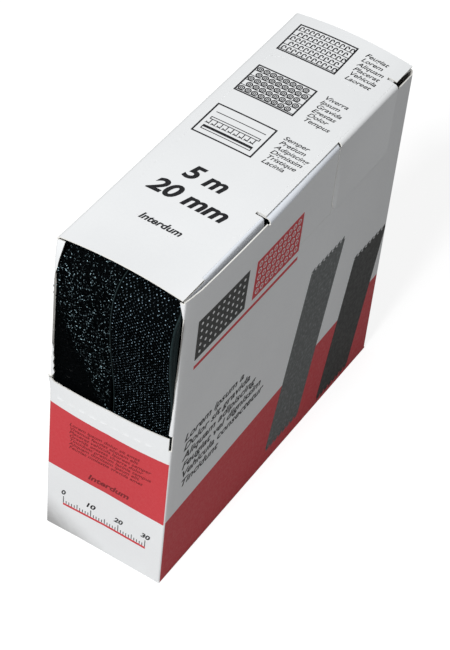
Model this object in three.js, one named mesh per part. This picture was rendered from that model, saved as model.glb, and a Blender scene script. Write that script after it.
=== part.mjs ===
// Two rolls of hook and loop tape in a folded board dispenser carton.
// Millimetres, +Z up, front towards -Y, right side panel towards +X, origin under the middle of the base.
import * as THREE from 'three';

// Tape: one wound roll of each half, on a board core
const tapeWidth = 20;
const tapeThickness = 1.5;
const turnGap = 0.5;
const windingTurns = 20;
const stepsPerTurn = 24;
const coreBore = 28.8;
const coreWall = 1.8;
const coreFacets = 24;

// Loose outer turn of each tape, which stands proud in the window
const loopBulge = 1.7;
const hookBulge = 4.3;
const bulgeDrop = 18;
const shoulderDepth = 17;
const shoulderGap = 1.75;
const shoulderHandle = 12.5;
const tailLength = 18;
const wrapStartAngle = -20;
const wrapStep = 5;
const settleHandle = 14;
const bendSteps = 12;

// Carton board
const board = 0.4;
const clearance = 0.3;
const rollPlay = 4.6;
const headRoom = 6.9;
const creaseGap = 0.1;

// Window in the front, with the perforated line below its sill
const windowSill = 67;
const sillSlitWidth = 1;
const sillSlitDepth = 5;
const perforationDrop = 6.5;
const perforationLength = 2.4;
const perforationWidth = 0.35;
const perforationPitch = 3.9;
const perforationMargin = 2.5;

// Lid closure on the right: tuck flap in two lengths, tongue between them
const foldRadius = 1.8;
const tongueFoldRadius = 1.5;
const tongueStand = 0.3;
const cornerLength = 10.5;
const frontFlapLength = 30.5;
const rearFlapLength = 33;
const flapDepth = 28;
const flapTaper = 1;
const baseTuckTaper = 6;
const flapCornerRadius = 4;
const lidNotchWidth = 1.2;
const lidNotchDepth = 3;
const tongueSetback = 4.8;
const tongueReach = 14;
const panelSlitWidth = 0.6;

// Flaps that close the base and the back
const dustFlapLength = 32;
const dustFlapTaper = 5;
const baseTuckDepth = 24;
const seamFlapWidth = 13;
const seamFlapTaper = 4;

// Sizes that follow
const coreRadius = coreBore / 2 + coreWall;
const windingInner = coreRadius + clearance;
const windingPitch = tapeThickness + turnGap;
const rollRadius = windingInner + windingTurns * windingPitch + tapeThickness;
const outerTurnSpace = tapeThickness + 2 * clearance;
const cartonWidth = 2 * tapeWidth + 4 * clearance + 3 * board;
const cartonDepth = 2 * rollRadius + 2 * outerTurnSpace + rollPlay + 2 * board;
const cartonHeight = board + clearance + 2 * rollRadius + headRoom + board;
const right = cartonWidth / 2;
const left = -right;
const back = cartonDepth / 2;
const front = -back;
const insideRight = right - board;
const insideLeft = left + board;
const insideFront = front + board;
const insideBack = back - board;
const lidUnder = cartonHeight - board;
const rawEdge = lidUnder - clearance - tongueFoldRadius - tongueStand;
const rollAxisHeight = board + clearance + rollRadius;
const loopLeft = insideLeft + clearance;
const hookLeft = loopLeft + tapeWidth + clearance;
const hookRight = hookLeft + tapeWidth;
const flapFaceInside = insideRight - clearance;

// Lengths along the right edge of the lid, from the front
const frontFlapStart = front + cornerLength;
const frontFlapEnd = frontFlapStart + frontFlapLength;
const rearFlapEnd = back - cornerLength;
const rearFlapStart = rearFlapEnd - rearFlapLength;
const tongueStart = frontFlapEnd + tongueSetback;
const tongueLength = rearFlapStart - clearance - tongueStart;

const whiteBoard = { color: 0xf1f2f3, roughness: 0.55, metalness: 0 };
const innerBoard = { color: 0xd8d4cc, roughness: 0.85, metalness: 0 };
const coreBoard = { color: 0xa88c68, roughness: 0.9, metalness: 0 };
const loopPile = { color: 0x14161a, roughness: 0.95, metalness: 0 };
const hookWeave = { color: 0x101215, roughness: 0.6, metalness: 0 };

const axisX = new THREE.Vector3(1, 0, 0);
const axisY = new THREE.Vector3(0, 1, 0);
const axisZ = new THREE.Vector3(0, 0, 1);
const acrossX = new THREE.Matrix4().makeBasis(axisY, axisZ, axisX);
const acrossY = new THREE.Matrix4().makeBasis(axisZ, axisX, axisY);

// A closed outline through corner points
function outline(points) {
  return new THREE.Shape(points.map(([u, v]) => new THREE.Vector2(u, v)));
}

function rectangle(u0, v0, u1, v1) {
  return outline([[u0, v0], [u1, v0], [u1, v1], [u0, v1]]);
}

function named(name, geometry, finish) {
  const mesh = new THREE.Mesh(geometry, new THREE.MeshStandardMaterial(finish));
  mesh.name = name;
  return mesh;
}

function extruded(shape, depth) {
  return new THREE.ExtrudeGeometry(shape, { depth, bevelEnabled: false, curveSegments: 6 });
}

// An upright board across X: its outline is drawn in (Y, Z)
function sideBoard(name, shape, x, finish = whiteBoard, thickness = board) {
  const mesh = named(name, extruded(shape, thickness), finish);
  mesh.quaternion.setFromRotationMatrix(acrossX);
  mesh.position.x = x;
  return mesh;
}

// A folded profile or a board across Y: its outline is drawn in (Z, X)
function crossBoard(name, shape, y, finish = whiteBoard, thickness = board) {
  const mesh = named(name, extruded(shape, thickness), finish);
  mesh.quaternion.setFromRotationMatrix(acrossY);
  mesh.position.y = y;
  return mesh;
}

// A level board: its outline is drawn in (X, Y)
function levelBoard(name, shape, z, finish = whiteBoard) {
  const mesh = named(name, extruded(shape, board), finish);
  mesh.position.z = z;
  return mesh;
}

// Outline of a flap with its root at v = root, tapered towards a free edge with round corners
function flapOutline(u0, u1, root, reach, taper, radius) {
  const way = Math.sign(reach);
  const tip = root + reach;
  const shape = new THREE.Shape();
  shape.moveTo(u0, root);
  shape.lineTo(u1, root);
  shape.lineTo(u1 - taper, tip - way * radius);
  shape.quadraticCurveTo(u1 - taper, tip, u1 - taper - radius, tip);
  shape.lineTo(u0 + taper + radius, tip);
  shape.quadraticCurveTo(u0 + taper, tip, u0 + taper, tip - way * radius);
  shape.closePath();
  return shape;
}

// Sleeve: the four upright panels, the seam and the strip left beside the window
function rightPanel() {
  const slitLeft = rearFlapStart - clearance;
  const slitRight = slitLeft + panelSlitWidth;
  const slitFoot = cartonHeight - flapDepth - clearance;
  const shape = outline([
    [front, board],
    [back, board],
    [back, rawEdge],
    [slitRight, rawEdge],
    [slitRight, slitFoot],
    [slitLeft, slitFoot],
    [slitLeft, rawEdge],
    [front, rawEdge],
  ]);
  return sideBoard('right_side_panel', shape, insideRight);
}

function frontPanel() {
  const slitLeft = insideRight - sillSlitWidth;
  const shape = outline([
    [board, insideLeft],
    [board, insideRight],
    [windowSill - sillSlitDepth, insideRight],
    [windowSill - sillSlitDepth, slitLeft],
    [windowSill, slitLeft],
    [windowSill, insideLeft],
  ]);
  const line = windowSill - perforationDrop;
  const run = insideRight - insideLeft - 2 * perforationMargin - perforationLength;
  const count = Math.floor(run / perforationPitch) + 1;
  for (let i = 0; i < count; i += 1) {
    const start = insideLeft + perforationMargin + i * perforationPitch;
    shape.holes.push(rectangle(line, start, line + perforationWidth, start + perforationLength));
  }
  return crossBoard('front_panel', shape, front);
}

function sleeve() {
  const group = new THREE.Group();
  const leftShape = rectangle(front, board, back, lidUnder - creaseGap);
  const backTop = lidUnder - clearance;
  const backShape = rectangle(board, insideLeft, backTop, insideRight);
  const stripShape = rectangle(windowSill + creaseGap, hookRight + clearance, rawEdge, insideRight);
  const seamShape = new THREE.Shape();
  seamShape.moveTo(board + clearance, insideLeft);
  seamShape.lineTo(board + clearance + seamFlapTaper, insideLeft + seamFlapWidth);
  seamShape.lineTo(backTop - board - clearance - seamFlapTaper, insideLeft + seamFlapWidth);
  seamShape.lineTo(backTop - board - clearance, insideLeft);
  seamShape.closePath();
  group.add(sideBoard('left_side_panel', leftShape, left));
  group.add(rightPanel());
  group.add(crossBoard('back_panel', backShape, insideBack));
  group.add(frontPanel());
  group.add(crossBoard('front_right_strip', stripShape, front));
  group.add(crossBoard('seam_flap', seamShape, insideBack - board, innerBoard));
  return group;
}

// Base: the outer panel, its tuck flap behind the right panel and two dust flaps on top of it
function base() {
  const group = new THREE.Group();
  const flapLeft = insideLeft + clearance;
  const flapRight = flapFaceInside - board - clearance;
  const floor = rectangle(left, front, right, back);
  const tuckStart = insideFront + cornerLength;
  const tuckEnd = insideBack - cornerLength;
  const tuck = flapOutline(tuckStart, tuckEnd, board, baseTuckDepth, baseTuckTaper, flapCornerRadius);
  const frontDust = flapOutline(flapLeft, flapRight, insideFront, dustFlapLength, dustFlapTaper, flapCornerRadius);
  const backDust = flapOutline(flapLeft, flapRight, insideBack, -dustFlapLength, dustFlapTaper, flapCornerRadius);
  group.add(levelBoard('bottom_panel', floor, 0));
  group.add(sideBoard('bottom_tuck_flap', tuck, flapFaceInside - board, innerBoard));
  group.add(levelBoard('bottom_front_dust_flap', frontDust, board, innerBoard));
  group.add(levelBoard('bottom_back_dust_flap', backDust, board, innerBoard));
  return group;
}

// A board that runs level at the top and turns down over a round fold at its right end, drawn in (Z, X)
function foldedProfile(topZ, outerX, radius, footZ, innerX) {
  const centreZ = topZ - radius;
  const centreX = outerX - radius;
  const shape = new THREE.Shape();
  shape.moveTo(topZ, innerX);
  shape.lineTo(topZ, centreX);
  shape.absarc(centreZ, centreX, radius, 0, Math.PI / 2, false);
  shape.lineTo(footZ, outerX);
  shape.lineTo(footZ, outerX - board);
  shape.lineTo(centreZ, outerX - board);
  shape.absarc(centreZ, centreX, radius - board, Math.PI / 2, 0, true);
  shape.lineTo(topZ - board, innerX);
  shape.closePath();
  return shape;
}

// Closing pieces under the lid that stay with the carton
function closure() {
  const group = new THREE.Group();
  const level = lidUnder - clearance;
  const tongueShape = foldedProfile(level, right, tongueFoldRadius, rawEdge, right - tongueReach);
  const dustLeft = insideLeft + clearance;
  const dustRight = insideRight - clearance;
  const dust = flapOutline(dustLeft, dustRight, insideBack, -dustFlapLength, dustFlapTaper, flapCornerRadius);
  group.add(crossBoard('lock_tongue', tongueShape, tongueStart, whiteBoard, tongueLength));
  group.add(levelBoard('top_back_dust_flap', dust, level - board, innerBoard));
  return group;
}

// Lid: hinged at the top left crease, cut at its right edge for the two lengths of tuck flap
function lid() {
  const group = new THREE.Group();
  const frontFold = flapFaceInside - foldRadius;
  const rearFold = right + clearance;
  const notchFoot = right - lidNotchDepth;
  const shape = outline([
    [left, front],
    [right, front],
    [right, frontFlapStart],
    [frontFold, frontFlapStart],
    [frontFold, frontFlapEnd],
    [notchFoot, frontFlapEnd],
    [notchFoot, frontFlapEnd + lidNotchWidth],
    [right, frontFlapEnd + lidNotchWidth],
    [right, rearFlapStart],
    [rearFold, rearFlapStart],
    [rearFold, rearFlapEnd],
    [notchFoot, rearFlapEnd],
    [notchFoot, rearFlapEnd + lidNotchWidth],
    [right, rearFlapEnd + lidNotchWidth],
    [right, back],
    [left, back],
  ]);
  const fold = foldedProfile(cartonHeight, flapFaceInside, foldRadius, cartonHeight - flapDepth, frontFold);
  const rearFlap = flapOutline(rearFlapStart, rearFlapEnd, lidUnder, board - flapDepth, flapTaper, flapCornerRadius);
  group.add(levelBoard('top_lid', shape, lidUnder));
  group.add(crossBoard('tuck_flap_front', fold, frontFlapStart, whiteBoard, frontFlapLength));
  group.add(sideBoard('tuck_flap_rear', rearFlap, rearFold));
  return group;
}

// Points and outward normals of a winding that grows by one pitch a turn, in (Y, Z) about the roll's axis
function windingPoints() {
  const points = [];
  const count = windingTurns * stepsPerTurn;
  for (let i = 0; i <= count; i += 1) {
    const turn = i / stepsPerTurn;
    const angle = turn * 2 * Math.PI + THREE.MathUtils.degToRad(wrapStartAngle);
    const inner = windingInner + turn * windingPitch;
    const way = new THREE.Vector2(Math.cos(angle), Math.sin(angle));
    points.push({
      inner: way.clone().multiplyScalar(inner),
      outer: way.clone().multiplyScalar(inner + tapeThickness),
    });
  }
  return points;
}

// Least distance from the outer face of any turn to the inner face of the next one, measured on their points
function leastTurnGap(points) {
  let least = Infinity;
  const nearest = new THREE.Vector3();
  for (let i = 0; i + stepsPerTurn + 1 < points.length; i += 1) {
    const here = new THREE.Vector3(points[i].outer.x, points[i].outer.y, 0);
    const a = points[i + stepsPerTurn].inner;
    const b = points[i + stepsPerTurn + 1].inner;
    const edge = new THREE.Line3(new THREE.Vector3(a.x, a.y, 0), new THREE.Vector3(b.x, b.y, 0));
    edge.closestPointToPoint(here, true, nearest);
    least = Math.min(least, here.distanceTo(nearest));
  }
  return least;
}

// A strip of tape from paired points on its two faces, as one closed outline
function stripShape(points) {
  const outer = points.map((p) => p.outer);
  const inner = points.map((p) => p.inner).reverse();
  return new THREE.Shape([...outer, ...inner]);
}

// The loose outer turn: round the back of the roll, forward under the lid, down the window and behind the sill
function outerTurnPoints(bulge) {
  const radius = rollRadius + clearance + tapeThickness / 2;
  const shoulder = new THREE.Vector2(front + shoulderDepth, lidUnder - shoulderGap - tapeThickness / 2);
  const fromAxis = new THREE.Vector2(shoulder.x, shoulder.y - rollAxisHeight);
  const start = THREE.MathUtils.degToRad(wrapStartAngle);
  const end = fromAxis.angle() - Math.acos(radius / fromAxis.length());
  const wrap = new THREE.EllipseCurve(0, rollAxisHeight, radius, radius, start, end, false, 0);
  const leaving = new THREE.Vector2(-Math.sin(end), Math.cos(end));
  const proud = new THREE.Vector2(front - bulge + tapeThickness / 2, cartonHeight - bulgeDrop);
  const seated = new THREE.Vector2(insideFront + clearance + tapeThickness / 2, windowSill - clearance);
  const bend = new THREE.CubicBezierCurve(
    shoulder,
    shoulder.clone().addScaledVector(leaving, shoulderDepth),
    new THREE.Vector2(proud.x, proud.y + shoulderHandle),
    proud,
  );
  const settle = new THREE.CubicBezierCurve(
    proud,
    new THREE.Vector2(proud.x, proud.y - settleHandle),
    new THREE.Vector2(seated.x, seated.y + settleHandle),
    seated,
  );
  const wrapSteps = Math.ceil(THREE.MathUtils.radToDeg(end - start) / wrapStep);
  const tailEnd = new THREE.Vector2(seated.x, seated.y - tailLength);
  const centre = [
    ...wrap.getPoints(wrapSteps),
    ...bend.getPoints(bendSteps),
    ...settle.getPoints(bendSteps).slice(1),
    tailEnd,
  ];
  return centre.map((point, i) => {
    const before = centre[Math.max(i - 1, 0)];
    const after = centre[Math.min(i + 1, centre.length - 1)];
    const along = after.clone().sub(before).normalize();
    const out = new THREE.Vector2(along.y, -along.x);
    return {
      inner: point.clone().addScaledVector(out, -tapeThickness / 2),
      outer: point.clone().addScaledVector(out, tapeThickness / 2),
    };
  });
}

// One tape: its core, its winding and its loose outer turn
function tape(kind, x, bulge, finish) {
  const group = new THREE.Group();
  const roll = new THREE.Group();
  const points = windingPoints();
  const ring = new THREE.Shape();
  const bore = new THREE.Path();
  ring.absarc(0, 0, coreRadius, 0, 2 * Math.PI, false);
  bore.absarc(0, 0, coreBore / 2, 0, 2 * Math.PI, true);
  ring.holes.push(bore);
  const tube = new THREE.ExtrudeGeometry(ring, {
    depth: tapeWidth,
    bevelEnabled: false,
    curveSegments: coreFacets,
  });
  const core = named(`${kind}_core`, tube, coreBoard);
  core.quaternion.setFromRotationMatrix(acrossX);
  core.position.x = x;
  roll.add(core);
  roll.add(sideBoard(`${kind}_tape`, stripShape(points), x, finish, tapeWidth));
  roll.position.z = rollAxisHeight;
  group.add(roll);
  const turn = stripShape(outerTurnPoints(bulge));
  group.add(sideBoard(`${kind}_outer_turn`, turn, x, finish, tapeWidth));
  return group;
}

console.log(`least gap between turns: ${leastTurnGap(windingPoints()).toFixed(3)} mm`);

const carton = new THREE.Group();
carton.add(sleeve());
carton.add(base());
carton.add(closure());
carton.add(lid());
carton.add(tape('loop', loopLeft, loopBulge, loopPile));
carton.add(tape('hook', hookLeft, hookBulge, hookWeave));

export default carton;
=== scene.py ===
import logging
import math
import random
from collections.abc import Callable, Iterable, Sequence
from dataclasses import dataclass, field
from enum import Enum
from functools import partial, reduce

import bmesh
import bpy
import numpy as np
from bmesh.types import BMEdge, BMesh, BMVert
from bpy.types import Material, Mesh, Node, NodeTree
from mathutils import Matrix, Vector


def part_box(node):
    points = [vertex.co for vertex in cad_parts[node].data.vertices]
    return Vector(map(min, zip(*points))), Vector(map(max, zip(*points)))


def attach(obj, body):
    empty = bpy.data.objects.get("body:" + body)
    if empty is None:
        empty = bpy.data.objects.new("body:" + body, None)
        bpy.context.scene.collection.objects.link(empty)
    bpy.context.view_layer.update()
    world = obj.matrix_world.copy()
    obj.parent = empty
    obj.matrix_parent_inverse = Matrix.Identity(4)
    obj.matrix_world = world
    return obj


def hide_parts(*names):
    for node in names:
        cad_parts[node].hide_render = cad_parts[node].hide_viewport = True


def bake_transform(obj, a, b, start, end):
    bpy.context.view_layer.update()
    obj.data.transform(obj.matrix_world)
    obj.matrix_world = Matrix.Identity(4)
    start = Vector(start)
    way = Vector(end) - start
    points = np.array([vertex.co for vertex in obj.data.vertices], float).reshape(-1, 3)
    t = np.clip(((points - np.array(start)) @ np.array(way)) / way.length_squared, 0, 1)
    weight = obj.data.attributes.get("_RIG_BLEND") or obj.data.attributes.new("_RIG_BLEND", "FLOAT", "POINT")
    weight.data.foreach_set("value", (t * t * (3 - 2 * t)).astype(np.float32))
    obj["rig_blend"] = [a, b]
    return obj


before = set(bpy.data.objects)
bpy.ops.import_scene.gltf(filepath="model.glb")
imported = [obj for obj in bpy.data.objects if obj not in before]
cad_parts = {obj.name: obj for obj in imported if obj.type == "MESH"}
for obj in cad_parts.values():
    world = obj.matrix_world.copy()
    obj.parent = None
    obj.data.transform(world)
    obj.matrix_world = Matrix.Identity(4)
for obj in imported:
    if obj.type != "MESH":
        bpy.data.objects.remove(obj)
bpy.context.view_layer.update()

MM = 0.001
NEAR = 0.01
MERGE = 1e-4
QUARTER = math.pi / 2.0
LOG = logging.getLogger("tape_carton")

Point = tuple[float, float]
Point3 = tuple[float, float, float]
Colour = Point3
Table = tuple[Point, ...]
Box = tuple[float, float, float, float]
Socket = bpy.types.NodeSocket
Feed = Socket | float | Colour


class Slot(Enum):
    """Material slots of the record."""

    PRINTED = "printed_board"
    INNER = "inner_board"
    CORE = "core_board"
    LOOP = "loop_pile"
    HOOK = "hook_weave"


class Body(Enum):
    """Bodies of the frame."""

    CARTON = "carton"
    LID = "lid"
    REAR_FLAP = "rear_flap"
    LOOP_ROLL = "loop_roll"
    HOOK_ROLL = "hook_roll"


class Side(Enum):
    """Upright panels of the sleeve."""

    LEFT = "left"
    RIGHT = "right"
    FRONT = "front"
    BACK = "back"


class TapeKind(Enum):
    """The two halves of the fastener."""

    LOOP = "loop"
    HOOK = "hook"


Bend = tuple[Body, Body, Vector, Vector]


def measure(node: str, axis: int) -> Point:
    """Measure a node of the frame in millimetres along axis 0, 1 or 2, which are X, Y and Z."""
    low, high = (Vector(corner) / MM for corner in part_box(node))
    return low[axis], high[axis]


def clamp(value: float) -> float:
    """Hold a value between nought and one."""
    return min(1.0, max(0.0, value))


def ease(share: float) -> float:
    """Ease a share in and out."""
    return share * share * (3.0 - 2.0 * share)


def read_table(table: Table, place: float) -> float:
    """Read a table of places and values between its rows."""
    return float(np.interp(place, *zip(*table)))


@dataclass(frozen=True)
class CartonPlan:
    """Sizes of the carton in millimetres, taken from the frame, with the bows of its worn board."""

    half_width: float
    half_depth: float
    height: float
    sill: float
    raw_edge: float
    front_flap: Point
    rear_flap: Point
    tongue: Point
    flap_foot: float
    front_face: float
    roll_axis: float
    board: float = 0.4
    crease: float = 0.7
    front_bow: float = 1.7
    front_bow_foot: float = 12.0
    lid_bow: float = 0.5
    lid_end_bow: float = 1.3
    lid_end_length: float = 26.0
    left_forward: Table = (
        (0.0, 0.6), (20.0, 1.0), (58.0, 1.2), (67.0, 1.5), (110.0, 1.45), (119.0, 1.3), (123.6, 0.5),
    )
    forward_from: float = 40.0
    right_bulge: Table = (
        (0.0, 0.0), (3.0, 0.15), (8.0, 0.4), (16.0, 0.65), (28.0, 0.85), (41.0, 0.9), (52.0, 0.75),
        (65.0, 0.4), (80.0, 0.0),
    )
    right_bulge_foot: float = 84.0

    @classmethod
    def from_frame(cls) -> "CartonPlan":
        """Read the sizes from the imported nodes."""
        return cls(
            half_width=measure("bottom_panel", 0)[1],
            half_depth=measure("bottom_panel", 1)[1],
            height=measure("top_lid", 2)[1],
            sill=measure("front_panel", 2)[1],
            raw_edge=measure("right_side_panel", 2)[1],
            front_flap=measure("tuck_flap_front", 1),
            rear_flap=measure("tuck_flap_rear", 1),
            tongue=measure("lock_tongue", 1),
            flap_foot=measure("tuck_flap_front", 2)[0],
            front_face=measure("tuck_flap_front", 0)[1],
            roll_axis=sum(measure("loop_core", 2)) / 2.0,
        )

    def across(self, x: float) -> float:
        """Give the share of a bow at a place across the carton."""
        return 1.0 - min(1.0, (x / self.half_width) ** 2)

    def front_out(self, x: float, z: float) -> float:
        """Find how far the lower front bows out."""
        up = clamp((z - self.front_bow_foot) / (self.sill - self.front_bow_foot))
        return self.front_bow * self.across(x) * ease(up)

    def lid_up(self, x: float, y: float) -> float:
        """Find how far the lid bows up."""
        near = clamp(1.0 - (self.half_depth - abs(y)) / self.lid_end_length)
        return (self.lid_bow + self.lid_end_bow * near * near) * self.across(x)

    def right_out(self, y: float, z: float) -> float:
        """Find how far the tucked flap pushes the free edge of the right panel out."""
        up = clamp((z - self.right_bulge_foot) / (self.height - self.right_bulge_foot))
        return read_table(self.right_bulge, y + self.half_depth) * ease(up)

    def forward(self, place: Vector) -> float:
        """Find how far the front crease of the left panel stands forward."""
        near = clamp((-place.y - self.forward_from) / (self.half_depth - self.forward_from))
        return read_table(self.left_forward, place.z) * near * clamp(-place.x / self.half_width)


class Graph:
    """A short hand for wiring shader nodes."""

    def __init__(self, tree: NodeTree) -> None:
        """Keep the tree that the nodes go into."""
        self.tree = tree

    def add(self, kind: str, *terms: Feed | None, **settings: object) -> Node:
        """Add a node.

        Args:
            kind: Node type.
            *terms: Its inputs in order, with None for an input that is left alone.
            **settings: Node properties by name.

        Returns:
            The new node.
        """
        node = self.tree.nodes.new(kind)
        for key, value in settings.items():
            setattr(node, key, value)
        for socket, term in zip(node.inputs, terms):
            if term is not None:
                self.feed(socket, term)
        return node

    def feed(self, socket: Socket, value: Feed) -> None:
        """Link an input to an output, or set the input's own value.

        Args:
            socket: Input socket.
            value: Output socket, number or colour.
        """
        if isinstance(value, Socket):
            self.tree.links.new(value, socket)
        elif isinstance(value, tuple) and socket.type == "RGBA":
            socket.default_value = (*value, 1.0)
        else:
            socket.default_value = value

    def math(self, operation: str, *terms: Feed) -> Socket:
        """Add a Math node with its inputs in order, and give its output."""
        return self.add("ShaderNodeMath", *terms, operation=operation).outputs[0]

    def times(self, *terms: Feed) -> Feed:
        """Multiply values with each other."""
        return reduce(partial(self.math, "MULTIPLY"), terms)

    def from_line(self, place: Feed, line: float) -> Socket:
        """Measure the distance of a place from a line."""
        return self.math("ABSOLUTE", self.math("SUBTRACT", line, place))

    def mix(self, factor: Feed, first: Feed, second: Feed, blend: str = "MIX") -> Socket:
        """Mix a share of the second colour into the first."""
        terms = (factor, *[None] * 5, first, second)
        return self.add("ShaderNodeMix", *terms, data_type="RGBA", blend_type=blend).outputs[2]

    def ramp(self, value: Feed, low: float, high: float, bottom: float = 0.0, top: float = 1.0) -> Socket:
        """Turn a value that goes from low to high into a smooth step from bottom to top."""
        terms = (value, low, high, bottom, top)
        return self.add("ShaderNodeMapRange", *terms, interpolation_type="SMOOTHSTEP").outputs[0]

    def noise(self, place: Socket, scale: float, detail: float = 3.0) -> Socket:
        """Add noise with so many grains in each millimetre."""
        return self.add("ShaderNodeTexNoise", place, None, scale, detail).outputs["Fac"]

    def attribute(self, name: str) -> Socket:
        """Read an attribute of the mesh."""
        return self.add("ShaderNodeAttribute", attribute_name=name).outputs["Fac"]

    def millimetres(self) -> Socket:
        """Give the object's own coordinates in millimetres."""
        place = self.add("ShaderNodeTexCoord").outputs["Object"]
        return self.add("ShaderNodeVectorMath", place, None, None, 1.0 / MM, operation="SCALE").outputs[0]

    def axes(self, place: Socket) -> tuple[Socket, Socket, Socket]:
        """Split coordinates into X, Y and Z."""
        return tuple(self.add("ShaderNodeSeparateXYZ", place).outputs)


class Surface(Graph):
    """The graph of a material, with its Principled shader."""

    def __init__(self, name: str) -> None:
        """Start a material.

        Args:
            name: Name of the material.
        """
        self.material = bpy.data.materials.new(name)
        self.material.use_nodes = True
        super().__init__(self.material.node_tree)
        self.shader = self.tree.nodes["Principled BSDF"]

    def dress(self, feeds: dict[str, Feed]) -> None:
        """Feed inputs of the shader by their names."""
        for label, value in feeds.items():
            self.feed(self.shader.inputs[label], value)

    def bump(self, height: Socket, strength: float, distance_mm: float) -> None:
        """Make the surface bumpy, where a full step of the height is so many millimetres."""
        node = self.add("ShaderNodeBump", strength, distance_mm * MM, None, height)
        self.dress({"Normal": node.outputs["Normal"]})

    def finish(self, colour: Feed, roughness: Feed, gloss: float) -> Material:
        """Set the colour, roughness and gloss of the shader, and give the material."""
        self.dress({"Base Color": colour, "Roughness": roughness, "Specular IOR Level": gloss})
        return self.material


@dataclass
class SharedEffects:
    """Node groups that more than one finish uses."""

    plan: CartonPlan
    groups: dict[str, NodeTree] = field(default_factory=dict)

    def start(self, name: str, inputs: dict[str, str], outputs: dict[str, str]) -> tuple[Graph, dict, dict]:
        """Begin a node group.

        Args:
            name: Name of the group.
            inputs: Socket types of its inputs by name.
            outputs: Socket types of its outputs by name.

        Returns:
            The graph, its input sockets and its output sockets.
        """
        tree = bpy.data.node_groups.new(name, "ShaderNodeTree")
        for way, labels in (("INPUT", inputs), ("OUTPUT", outputs)):
            for label, kind in labels.items():
                tree.interface.new_socket(label, in_out=way, socket_type=f"NodeSocket{kind}")
        entry = tree.nodes.new("NodeGroupInput")
        leave = tree.nodes.new("NodeGroupOutput")
        self.groups[name] = tree
        return Graph(tree), entry.outputs, leave.inputs

    def build(self) -> None:
        """Build every group."""
        self.paper_grain()
        self.crease_wear()
        self.yarn_weave()

    def paper_grain(self) -> None:
        """Build the mottle and fibre of board."""
        graph, given, result = self.start(
            "paper_grain",
            {"Place": "Vector", "Colour": "Color", "Mottle": "Float"},
            {"Colour": "Color", "Roughness": "Float", "Height": "Float"},
        )
        shadow = (0.62, 0.62, 0.66)
        cloud = graph.noise(given["Place"], 0.05, 2.0)
        speck = graph.noise(given["Place"], 1.1, 4.0)
        fibre = graph.noise(given["Place"], 5.5, 2.0)
        shade = graph.math("ADD", graph.times(cloud, 0.6), graph.times(speck, 0.4))
        dark = graph.times(graph.ramp(shade, 0.35, 0.65), given["Mottle"])
        graph.feed(result["Colour"], graph.mix(dark, given["Colour"], shadow, "MULTIPLY"))
        graph.feed(result["Roughness"], graph.ramp(speck, 0.3, 0.7, 0.42, 0.58))
        graph.feed(result["Height"], graph.math("ADD", fibre, graph.times(cloud, 2.0)))

    def crease_wear(self) -> None:
        """Build a mask that follows the carton's creases and cut corners."""
        graph, given, result = self.start(
            "crease_wear", {"Place": "Vector", "Reach": "Float"}, {"Mask": "Float"}
        )
        x, y, z = graph.axes(given["Place"])
        to_side = graph.from_line(graph.math("ABSOLUTE", x), self.plan.half_width)
        to_end = graph.from_line(graph.math("ABSOLUTE", y), self.plan.half_depth)
        to_cap = graph.math("MINIMUM", graph.from_line(z, self.plan.height), z)
        nearest = graph.math("MINIMUM", to_side, to_end)
        inner = graph.math("MAXIMUM", to_side, to_end)
        second = graph.math("MAXIMUM", nearest, graph.math("MINIMUM", inner, to_cap))
        ragged = graph.times(graph.noise(given["Place"], 0.9, 4.0), given["Reach"])
        near = graph.math("SUBTRACT", ragged, second)
        graph.feed(result["Mask"], graph.ramp(near, 0.0, 0.35))

    def yarn_weave(self) -> None:
        """Build the weave of a tape's ground from its own across and along lengths."""
        graph, given, result = self.start(
            "yarn_weave",
            {"Across": "Float", "Along": "Float", "Pitch": "Float"},
            {"Height": "Float", "Mask": "Float"},
        )
        turn = graph.math("DIVIDE", math.tau, given["Pitch"])
        warp = graph.math("SINE", graph.times(given["Across"], turn))
        weft = graph.math("SINE", graph.times(given["Along"], turn))
        cross = graph.times(warp, weft)
        graph.feed(result["Height"], cross)
        graph.feed(result["Mask"], graph.ramp(cross, 0.1, 0.9))

    def place(self, graph: Graph, name: str, *terms: Feed) -> Node:
        """Put a group into a material, with its inputs in order."""
        return graph.add("ShaderNodeGroup", *terms, node_tree=self.groups[name])


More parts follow.
